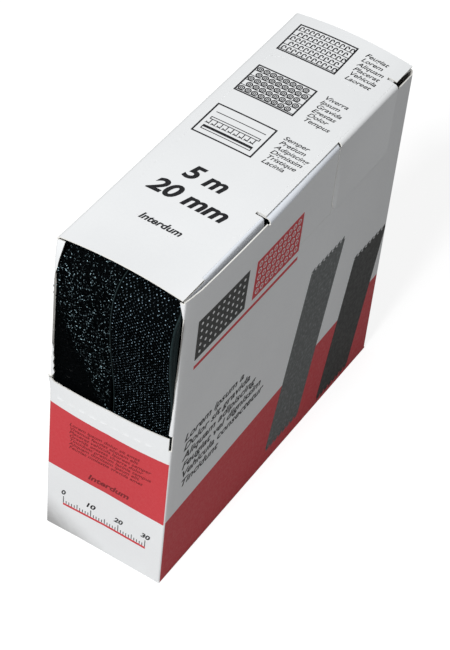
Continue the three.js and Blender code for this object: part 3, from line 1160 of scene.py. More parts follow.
@dataclass
class LidClosure(SubAssembly):
    """The lid with its two lengths of tuck flap, the tongue and the back dust flap."""

    crease: float = 1.2
    crease_steps: int = 5
    grid: int = 12
    end_lines: tuple[float, ...] = (0.8, 1.8, 3.0, 4.5, 6.5, 9.0, 12.0, 15.5, 19.5, 23.0)
    front_fold: float = 0.8
    fold_steps: int = 8
    rear_fold: float = 1.5
    rear_steps: int = 10
    rear_stand: float = 0.42
    rear_board: float = 0.37
    crushed: float = 0.3
    crushed_width: float = 2.5
    crushed_foot: float = 0.9
    set_back: float = 0.75
    corner_lap: float = 0.5
    tongue_lap: float = 3.4
    flap_tilt: float = 0.35
    tilt_depth: float = 2.4
    tongue_fold: float = 1.5
    back_fold: float = 0.7
    notch_width: float = 1.2
    notch_depth: float = 3.0
    tongue_tip: float = 7.2
    corner: float = 4.0
    corner_steps: int = 6
    dust_length: float = 32.0
    dust_taper: float = 5.0
    slack: float = 0.3

    def build(self) -> None:
        """Build the pieces."""
        self.lid()
        self.front_flap()
        self.rear_flap()
        self.tongue()
        self.dust_flap()

    def lid(self) -> None:
        """Build the lid: a sheet with cut corners, its left crease and a front edge that bows up."""
        plan = self.plan
        wide, deep = plan.half_width, plan.half_depth
        left, edge = self.crease - wide, wide - self.set_back
        notch = edge - self.notch_depth
        flaps = (
            (plan.front_flap, plan.front_face - self.front_fold),
            (plan.rear_flap, wide + self.rear_stand - self.rear_fold),
        )
        bm = bmesh.new()
        centre = Matrix.Translation(((left + edge) / 2.0, 0.0, plan.height))
        size = Matrix.Diagonal(((edge - left) / 2.0, deep, 1.0, 1.0))
        bmesh.ops.create_grid(bm, x_segments=self.grid, y_segments=self.grid, size=1.0, matrix=centre @ size)
        for (start, end), fold in flaps:
            cut(bm, 1, (start, end, end + self.notch_width))
            cut(bm, 0, (fold, notch))
        for line in self.end_lines:
            cut(bm, 1, (line - deep, deep - line))
        for (start, end), fold in flaps:
            drop(bm, lambda c: start < c.y < end and c.x > fold)
            drop(bm, lambda c: end < c.y < end + self.notch_width and c.x > notch)
        for vert in bm.verts:
            vert.co.z += plan.lid_up(vert.co.x, vert.co.y)
        hinge = edges_where(bm, lambda c: abs(c.x - left) < NEAR)
        spin(bm, hinge, (left, 0.0, plan.height - self.crease), 1, -QUARTER, self.crease_steps)
        right_way(bm)
        self.face_up(bm)
        start = Vector((-wide, 0.0, plan.height - self.crease))
        bend = (Body.CARTON, Body.LID, start, Vector((left, 0.0, plan.height)))
        self.board(bm, "lid_board", "top_lid", body=Body.LID, bend=bend)

    def face_up(self, bm: BMesh) -> None:
        """Turn a sheet over if its widest face looks down.

        Args:
            bm: Sheet to look at.
        """
        bm.normal_update()
        widest = max(bm.faces, key=lambda f: f.calc_area())
        if widest.normal.z + widest.normal.x < 0.0:
            bmesh.ops.reverse_faces(bm, faces=bm.faces[:])

    def fold_down(
        self, axis: Point, span: Point, radius: float, steps: int
    ) -> tuple[BMesh, list[BMEdge]]:
        """Start a sheet with a quarter-round fold from level to upright.

        Args:
            axis: Place across and height of the fold's axis, which runs along Y.
            span: Ends of the fold along Y.
            radius: Radius of the fold.
            steps: Steps round the fold.

        Returns:
            The sheet and its last edges.
        """
        bm = bmesh.new()
        x, z = axis
        root = bm.edges.new([bm.verts.new((x, y, z + radius)) for y in span])
        return bm, spin(bm, [root], (x, 0.0, z), 1, QUARTER, steps)

    def round_tip(self, bm: BMesh, edges: Iterable[BMEdge]) -> None:
        """Round the two corners of a flap's free edge."""
        corners = [vert for vert in ends_of(edges) if len(vert.link_faces) == 1]
        round_off(bm, corners, self.corner, self.corner_steps, "VERTICES")

    def front_flap(self) -> None:
        """Build the flap tucked behind the right panel, with the part cut free under the lid's corner."""
        plan = self.plan
        start, _ = plan.front_flap
        axis = (plan.front_face - self.front_fold, plan.height - self.front_fold)
        bm, tip = self.fold_down(axis, plan.front_flap, self.front_fold, self.fold_steps)
        tip = extrude_line(bm, tip, (self.flap_tilt, 0.0, -self.tilt_depth))
        extrude_line(bm, tip, (0.0, 0.0, plan.flap_foot - axis[1] + self.tilt_depth))
        leading = edges_where(bm, lambda c: c.y < start + NEAR and c.z < axis[1] + NEAR)
        reach = plan.half_depth - plan.board - self.corner_lap + start
        extrude_line(bm, leading, (0.0, -reach, 0.0))
        foot = plan.flap_foot + NEAR
        joins = [v for v in ends_of(edges_where(bm, lambda c: c.z < foot)) if len(v.link_faces) == 2]
        bmesh.ops.dissolve_verts(bm, verts=joins)
        self.round_tip(bm, edges_where(bm, lambda c: c.z < foot))
        self.face_up(bm)
        self.board(bm, "front_tuck_flap", "tuck_flap_front", plain=True, body=Body.LID)

    def rear_flap(self) -> None:
        """Build the flap that lies outside the right panel, with its fold."""
        plan = self.plan
        start, _ = plan.rear_flap
        face_x = plan.half_width + self.rear_stand
        axis = (face_x - self.rear_fold, plan.height - self.rear_fold)
        bm, tip = self.fold_down(axis, plan.rear_flap, self.rear_fold, self.rear_steps)
        tip = extrude_line(bm, tip, (0.0, 0.0, plan.flap_foot - axis[1]))
        self.round_tip(bm, tip)
        cut(bm, 1, (start + self.crushed_width,))
        cut(bm, 2, (plan.flap_foot + self.crushed_foot,))
        self.face_up(bm)
        thicken(bm, self.rear_board)
        for vert in bm.verts:
            at_edge = vert.co.y < start + NEAR or vert.co.z < plan.flap_foot + NEAR
            if at_edge and vert.co.x > face_x - NEAR:
                vert.co.x -= self.crushed
        bend_start = Vector((axis[0], 0.0, plan.height))
        bend = (Body.LID, Body.REAR_FLAP, bend_start, Vector((face_x, 0.0, axis[1])))
        sides = self.finishes.board()
        self.shop.piece(bm, "rear_tuck_flap", sides, Body.REAR_FLAP, Slot.PRINTED, ["tuck_flap_rear"], bend)

    def tongue(self) -> None:
        """Build the tongue of the right panel, folded in under the lid."""
        plan = self.plan
        start, end = plan.tongue[0] - self.tongue_lap, plan.tongue[1]
        top = plan.height - plan.board - self.slack
        axis = (plan.half_width - self.tongue_fold, top - self.tongue_fold)
        bm, foot = self.fold_down(axis, (start, end), self.tongue_fold, self.fold_steps)
        extrude_line(bm, foot, (0.0, 0.0, plan.raw_edge - axis[1]))
        bulge_lines = [s - plan.half_depth for s, _ in plan.right_bulge]
        cut(bm, 1, [y for y in bulge_lines if start < y < end])
        for vert in bm.verts:
            vert.co.x += plan.right_out(vert.co.y, vert.co.z)
        crown = edges_where(bm, lambda c: abs(c.z - top) < NEAR)
        tip = extrude_line(bm, crown, (self.tongue_tip - axis[0], 0.0, 0.0))
        self.round_tip(bm, tip)
        right_way(bm)
        self.face_up(bm)
        self.board(bm, "tongue_board", "lock_tongue", plain=True)

    def dust_flap(self) -> None:
        """Build the flap of the back panel that lies under the lid."""
        plan = self.plan
        half = plan.half_width - plan.board - self.slack
        back = plan.half_depth
        foot = plan.height - plan.board - self.slack - self.back_fold
        bm = bmesh.new()
        root = bm.edges.new([bm.verts.new((x, back, foot)) for x in (-half, half)])
        top = spin(bm, [root], (0.0, back - self.back_fold, foot), 0, QUARTER, self.crease_steps)
        tip = extrude_line(bm, top, (0.0, self.back_fold - self.dust_length, 0.0))
        for vert in ends_of(tip):
            vert.co.x -= math.copysign(self.dust_taper, vert.co.x)
        self.round_tip(bm, tip)
        right_way(bm)
        self.face_up(bm)
        self.board(bm, "back_dust_flap", "top_back_dust_flap", slot=Slot.INNER)


@dataclass
class TapeRoute:
    """Route of a loose outer turn in the (Y, Z) plane, in millimetres."""

    plan: CartonPlan
    bulge: float
    seat_forward: float
    roll_radius: float = 58.0
    gap: float = 0.3
    thickness: float = 1.5
    shoulder_depth: float = 17.0
    shoulder_gap: float = 1.75
    shoulder_handle: float = 12.5
    bulge_drop: float = 18.0
    settle_handle: float = 14.0
    tail: float = 18.0
    wrap_start: float = math.radians(-20.0)
    wrap_points: int = 60
    run_points: int = 24
    curve_points: int = 29
    tail_points: int = 8
    look: float = 0.4
    points: np.ndarray = field(init=False)
    lengths: np.ndarray = field(init=False)

    def __post_init__(self) -> None:
        """Work out the middle line of the tape."""
        plan = self.plan
        front = -plan.half_depth
        half = self.thickness / 2.0
        radius = self.roll_radius + self.gap + half
        shoulder = np.array(
            (front + self.shoulder_depth, plan.height - plan.board - self.shoulder_gap - half)
        )
        reach = shoulder - np.array((0.0, plan.roll_axis))
        leave = math.atan2(reach[1], reach[0]) - math.acos(radius / float(np.hypot(*reach)))
        turn = np.linspace(self.wrap_start, leave, self.wrap_points)
        wrap = np.stack((radius * np.cos(turn), plan.roll_axis + radius * np.sin(turn)), axis=1)
        run = np.linspace(wrap[-1], shoulder, self.run_points)[1:]
        way = np.array((-math.sin(leave), math.cos(leave)))
        proud = np.array((front - self.bulge + half, plan.height - self.bulge_drop))
        seat_y = front + plan.board + self.gap + half - self.seat_forward
        seated = np.array((seat_y, plan.sill - self.gap))
        down = np.array((0.0, -1.0))
        lead, drop_in = down * self.shoulder_handle, down * self.settle_handle
        bend = self.curve(shoulder, shoulder + way * self.shoulder_depth, proud - lead, proud)
        settle = self.curve(proud, proud + drop_in, seated - drop_in, seated)
        tail = np.linspace(seated, seated + down * self.tail, self.tail_points)[1:]
        self.points = np.concatenate((wrap, run, bend, settle, tail))
        steps = np.hypot(*np.diff(self.points, axis=0).T)
        self.lengths = np.concatenate(((0.0,), np.cumsum(steps)))

    def curve(self, a: np.ndarray, b: np.ndarray, c: np.ndarray, d: np.ndarray) -> np.ndarray:
        """Sample a cubic curve, without its first point."""
        t = np.linspace(0.0, 1.0, self.curve_points)[1:, None]
        return (1 - t) ** 3 * a + 3 * (1 - t) ** 2 * t * b + 3 * (1 - t) * t * t * c + t**3 * d

    def at(self, along: float) -> np.ndarray:
        """Give the place on the middle line at a length."""
        return np.array([np.interp(along, self.lengths, column) for column in self.points.T])

    def frame_at(self, along: float) -> Matrix:
        """Give the frame of the tape at a length.

        Args:
            along: Length from the start of the turn.

        Returns:
            A matrix whose X runs across the tape, Y along it and Z out of its face.
        """
        way = Vector((0.0, *(self.at(along + self.look) - self.at(along - self.look)))).normalized()
        out = Vector((0.0, way.z, -way.y))
        place = Matrix((way.cross(out), way, out)).transposed().to_4x4()
        place.translation = (0.0, *self.at(along))
        return place


def mirrored(right: Sequence[Point]) -> list[Point]:
    """Add the left half to the right half of a section."""
    return [*right, *((-u, n) for u, n in reversed(right))]


def sweep(section: Sequence[Point], frames: Sequence[Matrix], lengths: Sequence[float]) -> BMesh:
    """Draw a closed section along a row of frames, with its across and along lengths kept as attributes.

    Args:
        section: Points across the tape and out of its face.
        frames: Frames along the route.
        lengths: Length along the route at each frame.

    Returns:
        A closed strip.
    """
    bm = bmesh.new()
    across = bm.verts.layers.float.new("across")
    along = bm.verts.layers.float.new("along")
    ring = [bm.verts.new(frames[0] @ Vector((u, 0.0, n))) for u, n in section]
    for vert, (u, _) in zip(ring, section):
        vert[across] = u
        vert[along] = lengths[0]
    first = edges = ring_edges(bm, ring)
    for before, after, length in zip(frames, frames[1:], lengths[1:]):
        result = bmesh.ops.extrude_edge_only(bm, edges=edges)
        verts = pick(result["geom"], BMVert)
        bmesh.ops.transform(bm, matrix=after @ before.inverted(), verts=verts)
        for vert in verts:
            vert[along] = length
        edges = pick(result["geom"], BMEdge)
    bmesh.ops.contextual_create(bm, geom=first)
    bmesh.ops.contextual_create(bm, geom=edges)
    right_way(bm)
    return bm


def repeat(shape: BMesh, places: Sequence[Matrix], name: str, stand: Sequence[float]) -> Mesh:
    """Copy a small shape to many places in one mesh, with each copy's own height kept as an attribute.

    Args:
        shape: Shape to copy.
        places: Where the copies go.
        name: Name of the mesh.
        stand: Share of its height that each copy keeps in the attribute, which sets how bright the painted
            glint of the copy is.

    Returns:
        One mesh of all the copies.
    """
    shape.verts.index_update()
    corners = np.array([(*v.co, 1.0) for v in shape.verts])
    faces = [[v.index for v in f.verts] for f in shape.faces]
    shape.free()
    moves = np.array([tuple(map(tuple, m)) for m in places])
    points = np.einsum("nij,vj->nvi", moves, corners)[:, :, :3].reshape(-1, 3)
    step = len(corners)
    copies = [[i + n * step for i in f] for n in range(len(places)) for f in faces]
    mesh = bpy.data.meshes.new(name)
    mesh.from_pydata(points.tolist(), [], copies)
    # The rise attribute tells the fibre finish where to paint its glint: a copy that keeps less of its height
    # shows a dimmer painted glint.
    heights = corners[:, 2] / corners[:, 2].max()
    rise = mesh.attributes.new("rise", "FLOAT", "POINT")
    rise.data.foreach_set("value", np.outer(stand, heights).ravel())
    return mesh


@dataclass
class Tape(SubAssembly):
    """One half of the fastener: core, wound roll and loose outer turn with its hooks or loops."""

    kind: TapeKind
    bulge: float
    seat_forward: float
    splay_hand: float
    splay_most: float
    turns: int = 20
    pitch: float = 2.0
    core_play: float = 0.3
    core_wall: float = 1.8
    core_rim: float = 0.3
    core_steps: int = 72
    steps_per_turn: int = 40
    edge_foot: Point = (0.2, 0.25)
    wound_edge: float = 0.35
    face: float = 0.05
    bead: float = 0.3
    bead_lines: tuple[float, ...] = (0.2, 0.4, 0.7)
    bead_foot: float = 1.0
    back_edge: Point = (0.1, 0.15)
    cover_from: float = 92.0
    hook_stem: float = 0.33
    hook_curl: float = 0.28
    hook_wire: float = 0.16
    hook_angle: float = math.radians(-215.0)
    hook_pitch: Point = (0.64, 1.22)
    hook_margins: Point = (0.8, 0.9)
    hook_jitter: Point = (0.1, 0.06)
    hook_turn: float = 0.35
    hook_lean: float = 0.2
    hook_sink: float = 0.05
    hook_seed: int = 11
    row_shift: float = 0.25
    turned_stand: float = 0.93
    selvedge: float = 0.45
    splay_from: float = 61.0
    splay_run: float = 2.5
    inner_turns: int = 2
    turn_drop: float = 1.55
    turn_cut: int = 7
    loose_from: float = -30.0
    pressed_line: Point3 = (98.0, 1.95, 14.0)
    pressed_size: float = 0.4
    pressed_stand: float = 0.5
    loop_radius: float = 0.36
    loop_wire: float = 0.1
    loop_pitch: float = 0.73
    loop_margin: float = 0.4
    loop_jitter: float = 0.34
    loop_lean: float = 0.6
    loop_sink: float = 0.03
    loop_width: Point = (0.8, 1.5)
    loop_height: Point = (1.1, 1.9)
    loop_seed: int = 23
    strand_sides: int = 3
    strand_steps: int = 5
    strand_sharp: float = 80.0

    def __post_init__(self) -> None:
        """Take the tape's place from the frame and its route from the plan."""
        core = f"{self.kind.value}_core"
        left, right = measure(core, 0)
        low, high = measure(core, 2)
        self.half, self.middle = (right - left) / 2.0, (right + left) / 2.0
        self.core_radius = (high - low) / 2.0
        self.route = TapeRoute(self.plan, self.bulge, self.seat_forward)
        is_loop = self.kind is TapeKind.LOOP
        self.slot = Slot.LOOP if is_loop else Slot.HOOK
        self.roll_body = Body.LOOP_ROLL if is_loop else Body.HOOK_ROLL
        self.ground = self.finishes.loop_ground if is_loop else self.finishes.hook_ground

    def build(self) -> None:
        """Build the pieces of the tape."""
        self.core()
        self.winding()
        self.outer_turn()
        if self.kind is TapeKind.HOOK:
            for turn in range(self.inner_turns):
                self.inner_turn(turn + 1)
            self.hooks()
        else:
            self.loops()

    def core(self) -> None:
        """Build the board tube with its softened rims."""
        bm = bmesh.new()
        rim, axis = self.core_rim, self.plan.roll_axis
        bore = self.core_radius - self.core_wall
        right = [(self.half - rim, bore), (self.half, bore + rim)]
        right += [(self.half, self.core_radius - rim), (self.half - rim, self.core_radius)]
        verts = [bm.verts.new((self.middle + u, 0.0, axis + r)) for u, r in mirrored(right)]
        spin(bm, ring_edges(bm, verts), (0.0, 0.0, axis), 0, math.tau, self.core_steps)
        bmesh.ops.remove_doubles(bm, verts=bm.verts[:], dist=MERGE)
        right_way(bm)
        name = f"{self.kind.value}_core"
        self.shop.piece(bm, f"{name}_tube", [self.finishes.core], self.roll_body, Slot.CORE, [name])

    def strip_section(self, low: float, head: Point) -> list[Point]:
        """Outline a strip of tape with its four edges cut off a little.

        Args:
            low: Height of its back.
            head: Width and height of the cuts along its face.

        Returns:
            Points across the tape and out of its face.
        """
        half, high = self.half, low + self.route.thickness
        foot_in, foot_up = self.edge_foot
        head_in, head_down = head
        right = [(half - foot_in, low), (half, low + foot_up)]
        return mirrored([*right, (half, high - head_down), (half - head_in, high)])

    def winding(self) -> None:
        """Build the wound roll as one strip in a growing spiral."""
        start = self.core_radius + self.core_play
        lift = Matrix.Translation((self.middle, 0.0, self.plan.roll_axis))
        stand = Matrix.Rotation(-QUARTER, 4, "X")
        frames, lengths, length = [], [], 0.0
        for i in range(self.turns * self.steps_per_turn + 1):
            share = i / self.steps_per_turn
            radius = start + share * self.pitch
            turn = Matrix.Rotation(share * math.tau + self.route.wrap_start, 4, "X")
            out = Matrix.Translation((0.0, radius, 0.0))
            frames.append(lift @ turn @ out @ stand)
            lengths.append(length)
            length += radius * math.tau / self.steps_per_turn
        bm = sweep(self.strip_section(0.0, (self.wound_edge, self.wound_edge)), frames, lengths)
        kind = self.kind.value
        self.shop.piece(bm, f"{kind}_winding", [self.ground], self.roll_body, self.slot, [f"{kind}_tape"])

    def frame_at(self, along: float) -> Matrix:
        """Give the frame of the loose turn at a length, in the tape's own lane."""
        return Matrix.Translation((self.middle, 0.0, 0.0)) @ self.route.frame_at(along)

    def loose_strip(
        self, section: Sequence[Point], lengths: Sequence[float], name: str, nodes: Sequence[str] = ()
    ) -> None:
        """Lay a strip of tape along the loose turn, with the selvedge material on the hook tape's edges.

        Args:
            section: Points across the tape and out of its face.
            lengths: Lengths along the turn.
            name: Name of the piece.
            nodes: Frame nodes that it stands for.
        """
        bm = sweep(section, [self.frame_at(length) for length in lengths], lengths)
        across = bm.verts.layers.float["across"]
        for vert in bm.verts:
            vert.co.x += self.splay(vert.co.y, vert[across] / self.half)
        for face in bm.faces:
            # The selvedge finish on the hook tape's edges is partly painted light.
            edge = all(abs(vert[across]) > self.half - self.selvedge for vert in face.verts)
            face.material_index = int(edge and self.kind is TapeKind.HOOK)
        self.shop.piece(bm, name, [self.ground, self.finishes.selvedge], Body.CARTON, self.slot, nodes)

    def outer_turn(self) -> None:
        """Build the ground of the loose outer turn, with a bead along each edge."""
        half, low = self.half, -self.route.thickness / 2.0
        back_in, back_up = self.back_edge
        right = [(half - back_in, low), (half, low + back_up), (half, self.face)]
        right += [(half - line, self.face + self.bead) for line in self.bead_lines]
        right.append((half - self.bead_foot, self.face))
        kind = self.kind.value
        self.loose_strip(mirrored(right), self.route.lengths, f"{kind}_outer_ground", [f"{kind}_outer_turn"])

    def splay(self, y: float, share: float) -> float:
        """Find how far the tape spreads sideways where it bulges out of the window."""
        amount = self.splay_most * clamp(self.splay_hand * share)
        return -self.splay_hand * amount * clamp((-y - self.splay_from) / self.splay_run)

    def inner_turn(self, turn: int) -> None:
        """Build a further turn of the tape, loose behind the outer one in the window.

        Args:
            turn: Number of turns under the outer one.
        """
        low = -self.route.thickness / 2.0 - turn * self.turn_drop
        points = zip(self.route.lengths, self.route.points)
        lengths = [length for length, (y, _) in points if y < self.loose_from]
        lengths = lengths[: len(lengths) - self.turn_cut * (turn - 1)]
        section = self.strip_section(low, self.edge_foot)
        self.loose_strip(section, lengths, f"{self.kind.value}_inner_turn_{turn}")

    def ring(self, bm: BMesh, wire: float, place: Sequence[float]) -> list[BMEdge]:
        """Start a strand with a small ring of edges."""
        bmesh.ops.create_circle(bm, segments=self.strand_sides, radius=wire, matrix=Matrix.Translation(place))
        return bm.edges[:]

    def root(self, across: float, length: float, sink: float) -> Matrix:
        """Find where a strand is planted on the outer face.

        Args:
            across: Place across the tape.
            length: Place along the turn.
            sink: How deep it sits in the ground.

        Returns:
            The frame of its root.
        """
        root = self.frame_at(length) @ Matrix.Translation((across, 0.0, self.face - sink))
        root.translation.x += self.splay(root.translation.y, across / self.half)
        return root

    def hooks(self) -> None:
        """Plant the rows of hooks on the outer face."""
        bm = bmesh.new()
        edges = self.ring(bm, self.hook_wire, (0.0, -self.hook_curl, 0.0))
        edges = extrude_line(bm, edges, (0.0, 0.0, self.hook_stem))
        tip = spin(bm, edges, (0.0, 0.0, self.hook_stem), 0, self.hook_angle, self.strand_steps)
        bmesh.ops.contextual_create(bm, geom=tip)
        right_way(bm)
        rng = random.Random(self.hook_seed)
        step_across, step_along = self.hook_pitch
        jitter_across, jitter_along = self.hook_jitter
        columns = int((2.0 * self.half - sum(self.hook_margins)) / step_across) + 1
        rows = int((self.route.lengths[-1] - self.cover_from) / step_along)
        places, stand = [], []
        for row in range(rows):
            slip = self.hook_margins[0] - self.half + rng.uniform(-1.0, 1.0) * self.row_shift
            for column in range(columns):
                turned = column % 2
                across = slip + column * step_across + rng.uniform(-1.0, 1.0) * jitter_across
                length = self.cover_from + (row + turned / 2.0) * step_along
                length += rng.uniform(-1.0, 1.0) * jitter_along
                way = QUARTER if turned else -QUARTER
                turn = Matrix.Rotation(way + rng.uniform(-self.hook_turn, self.hook_turn), 4, "Z")
                lean = Matrix.Rotation(rng.uniform(-self.hook_lean, self.hook_lean), 4, "Y")
                places.append(self.root(across, length, self.hook_sink) @ turn @ lean)
                # Hooks turned the other way get a dimmer painted glint: painted shade for the light they face
                # away from.
                stand.append(self.turned_stand if turned else 1.0)
        self.plant(bm, places, stand, "hook_rows", self.finishes.hook_fibre)

    def plant(
        self, bm: BMesh, places: Sequence[Matrix], stand: Sequence[float], name: str, fibre: Material
    ) -> None:
        """Make one piece of all the copies of a strand."""
        mesh = repeat(bm, places, name, stand)
        self.shop.piece(mesh, name, [fibre], Body.CARTON, self.slot, sharp=self.strand_sharp)

    def upright(self, place: Vector) -> float:
        """Say how upright the pile stands, since its lower left is pressed flat."""
        top, slope, fade = self.pressed_line
        return clamp((place.z - top + slope * (place.x + self.plan.half_width)) / fade + 0.5)

    def loops(self) -> None:
        """Plant the tangled loops on the outer face."""
        bm = bmesh.new()
        edges = self.ring(bm, self.loop_wire, (-self.loop_radius, 0.0, 0.0))
        spin(bm, edges, (0.0, 0.0, 0.0), 1, math.pi, self.strand_steps)
        right_way(bm)
        rng = random.Random(self.loop_seed)
        step, jitter = self.loop_pitch, self.loop_jitter
        columns = int(2.0 * (self.half - self.loop_margin) / step) + 1
        rows = int((self.route.lengths[-1] - self.cover_from) / step)
        places, stand = [], []
        for row in range(rows):
            for column in range(columns):
                across = column * step - (columns - 1) * step / 2.0 + rng.uniform(-jitter, jitter)
                length = self.cover_from + row * step + rng.uniform(-jitter, jitter)
                turn = Matrix.Rotation(rng.uniform(0.0, math.tau), 4, "Z")
                lean = Matrix.Rotation(rng.gauss(0.0, self.loop_lean), 4, "X")
                root = self.root(across, length, self.loop_sink)
                upright = self.upright(root.translation)
                width, height = rng.uniform(*self.loop_width), rng.uniform(*self.loop_height)
                height *= self.pressed_size + (1.0 - self.pressed_size) * upright
                places.append(root @ turn @ lean @ Matrix.Diagonal((width, 1.0, height, 1.0)))
                # Pressed loops are lower and keep less of the painted glint, which darkens the lower left of
                # the pile.
                stand.append(self.pressed_stand + (1.0 - self.pressed_stand) * upright)
        self.plant(bm, places, stand, "loop_pile", self.finishes.loop_fibre)


@dataclass
class Pen:
    """Draws flat ink marks in millimetres on a plane of U and V."""

    mesh: BMesh = field(default_factory=bmesh.new)
    step: float = 2.0
    slant: float = 0.28
    figure_weight: float = 0.035
    type_steps: int = 4
    sides: int = 8

    def patch(self, width: float, height: float, place: Matrix) -> None:
        """Draw a filled patch in steps short enough to follow a bowed face.

        Args:
            width: Size along the place's X.
            height: Size along the place's Y.
            place: Frame of its middle.
        """
        columns, rows = (max(1, math.ceil(size / self.step)) for size in (width, height))
        grow = Matrix.Diagonal((width / 2.0, height / 2.0, 1.0, 1.0))
        bmesh.ops.create_grid(self.mesh, x_segments=columns, y_segments=rows, size=1.0, matrix=place @ grow)

    def bar(self, box: Box, lean: float = 0.0) -> None:
        """Draw a filled bar.

        Args:
            box: Left, lower, right and upper side.
            lean: How far the upper side leans to the right for each unit of height.
        """
        u0, v0, u1, v1 = box
        shear = Matrix.Identity(4)
        shear[0][1] = lean
        self.patch(u1 - u0, v1 - v0, Matrix.Translation(((u0 + u1) / 2.0, (v0 + v1) / 2.0, 0.0)) @ shear)

    def line(self, start: Point, end: Point, width: float) -> None:
        """Draw a straight stroke.

        Args:
            start: One end.
            end: Other end.
            width: Width of the stroke.
        """
        run = Vector((end[0] - start[0], end[1] - start[1]))
        middle = ((start[0] + end[0]) / 2.0, (start[1] + end[1]) / 2.0, 0.0)
        turn = Matrix.Rotation(math.atan2(run.y, run.x), 4, "Z")
        self.patch(run.length, width, Matrix.Translation(middle) @ turn)

    def frame(self, box: Box, width: float) -> None:
        """Draw an outlined box.

        Args:
            box: Left, lower, right and upper side.
            width: Width of the outline.
        """
        u0, v0, u1, v1 = box
        self.bar((u0, v0, u1, v0 + width))
        self.bar((u0, v1 - width, u1, v1))
        self.bar((u0, v0 + width, u0 + width, v1 - width))
        self.bar((u1 - width, v0 + width, u1, v1 - width))

    def arc(
        self, centre: Point, radius: float, width: float, steps: int, start: float = 0.0, swept: float = 360.0
    ) -> None:
        """Draw a ring or a part of one.

        Args:
            centre: Centre of the ring.
            radius: Middle radius.
            width: Width of the stroke.
            steps: Steps round it.
            start: Angle in degrees where it starts.
            swept: Angle in degrees that it covers.
        """
        way = Vector((math.cos(math.radians(start)), math.sin(math.radians(start)), 0.0))
        middle = Vector((*centre, 0.0))
        sides = (radius - width / 2.0, radius + width / 2.0)
        edge = self.mesh.edges.new([self.mesh.verts.new(middle + way * side) for side in sides])
        spin(self.mesh, [edge], middle, 2, math.radians(swept), steps)

    def dot(self, centre: Point, radius: float) -> None:
        """Draw a filled round dot."""
        place = Matrix.Translation((*centre, 0.0))
        bmesh.ops.create_circle(self.mesh, cap_ends=True, segments=self.sides, radius=radius, matrix=place)

    def set_type(self, text: str, weight: float, spacing: float = 1.0) -> Mesh:
        """Turn slanted type one unit high into a flat mesh.

        Args:
            text: Figures or words.
            weight: How much bolder than plain type it is.
            spacing: Distance from line to line.

        Returns:
            The flat mesh.
        """
        curve = bpy.data.curves.new("type", "FONT")
        curve.body = text
        curve.shear = self.slant
        curve.offset = weight
        curve.space_line = spacing
        curve.resolution_u = self.type_steps
        holder = show("type", curve)
        flat = bpy.data.meshes.new_from_object(holder.evaluated_get(bpy.context.evaluated_depsgraph_get()))
        bpy.data.objects.remove(holder)
        bpy.data.curves.remove(curve)
        return flat

    def stamp(self, flat: Mesh, place: Matrix) -> None:
        """Add a flat mesh to the drawing.

        Args:
            flat: Mesh to add, which is used up.
            place: Where it goes.
        """
        flat.transform(place)
        self.mesh.from_mesh(flat)
        bpy.data.meshes.remove(flat)

    def words(
        self, lines: Sequence[str], size: float, pitch: float, place: Point,
        weight: float = 0.012, wide: float = 1.0,
    ) -> None:
        """Set lines of small slanted type."""
        flat = self.set_type("\n".join(lines), weight, pitch / size)
        self.stamp(flat, Matrix.Translation((*place, 0.0)) @ Matrix.Diagonal((size * wide, size, 1.0, 1.0)))

    def letters(self, text: str, box: Box) -> None:
        """Set a plain size mark in slanted type.

        Args:
            text: Figures and unit.
            box: Left, lower, right and upper side.
        """
        u0, v0, u1, v1 = box
        flat = self.set_type(text, self.figure_weight)
        places = np.array([vert.co[:] for vert in flat.vertices])
        low, high = places.min(axis=0), places.max(axis=0)
        grow = Matrix.Diagonal(((u1 - u0) / (high[0] - low[0]), (v1 - v0) / (high[1] - low[1]), 1.0, 1.0))
        home = Matrix.Translation((-low[0], -low[1], 0.0))
        self.stamp(flat, Matrix.Translation((u0, v0, 0.0)) @ grow @ home)


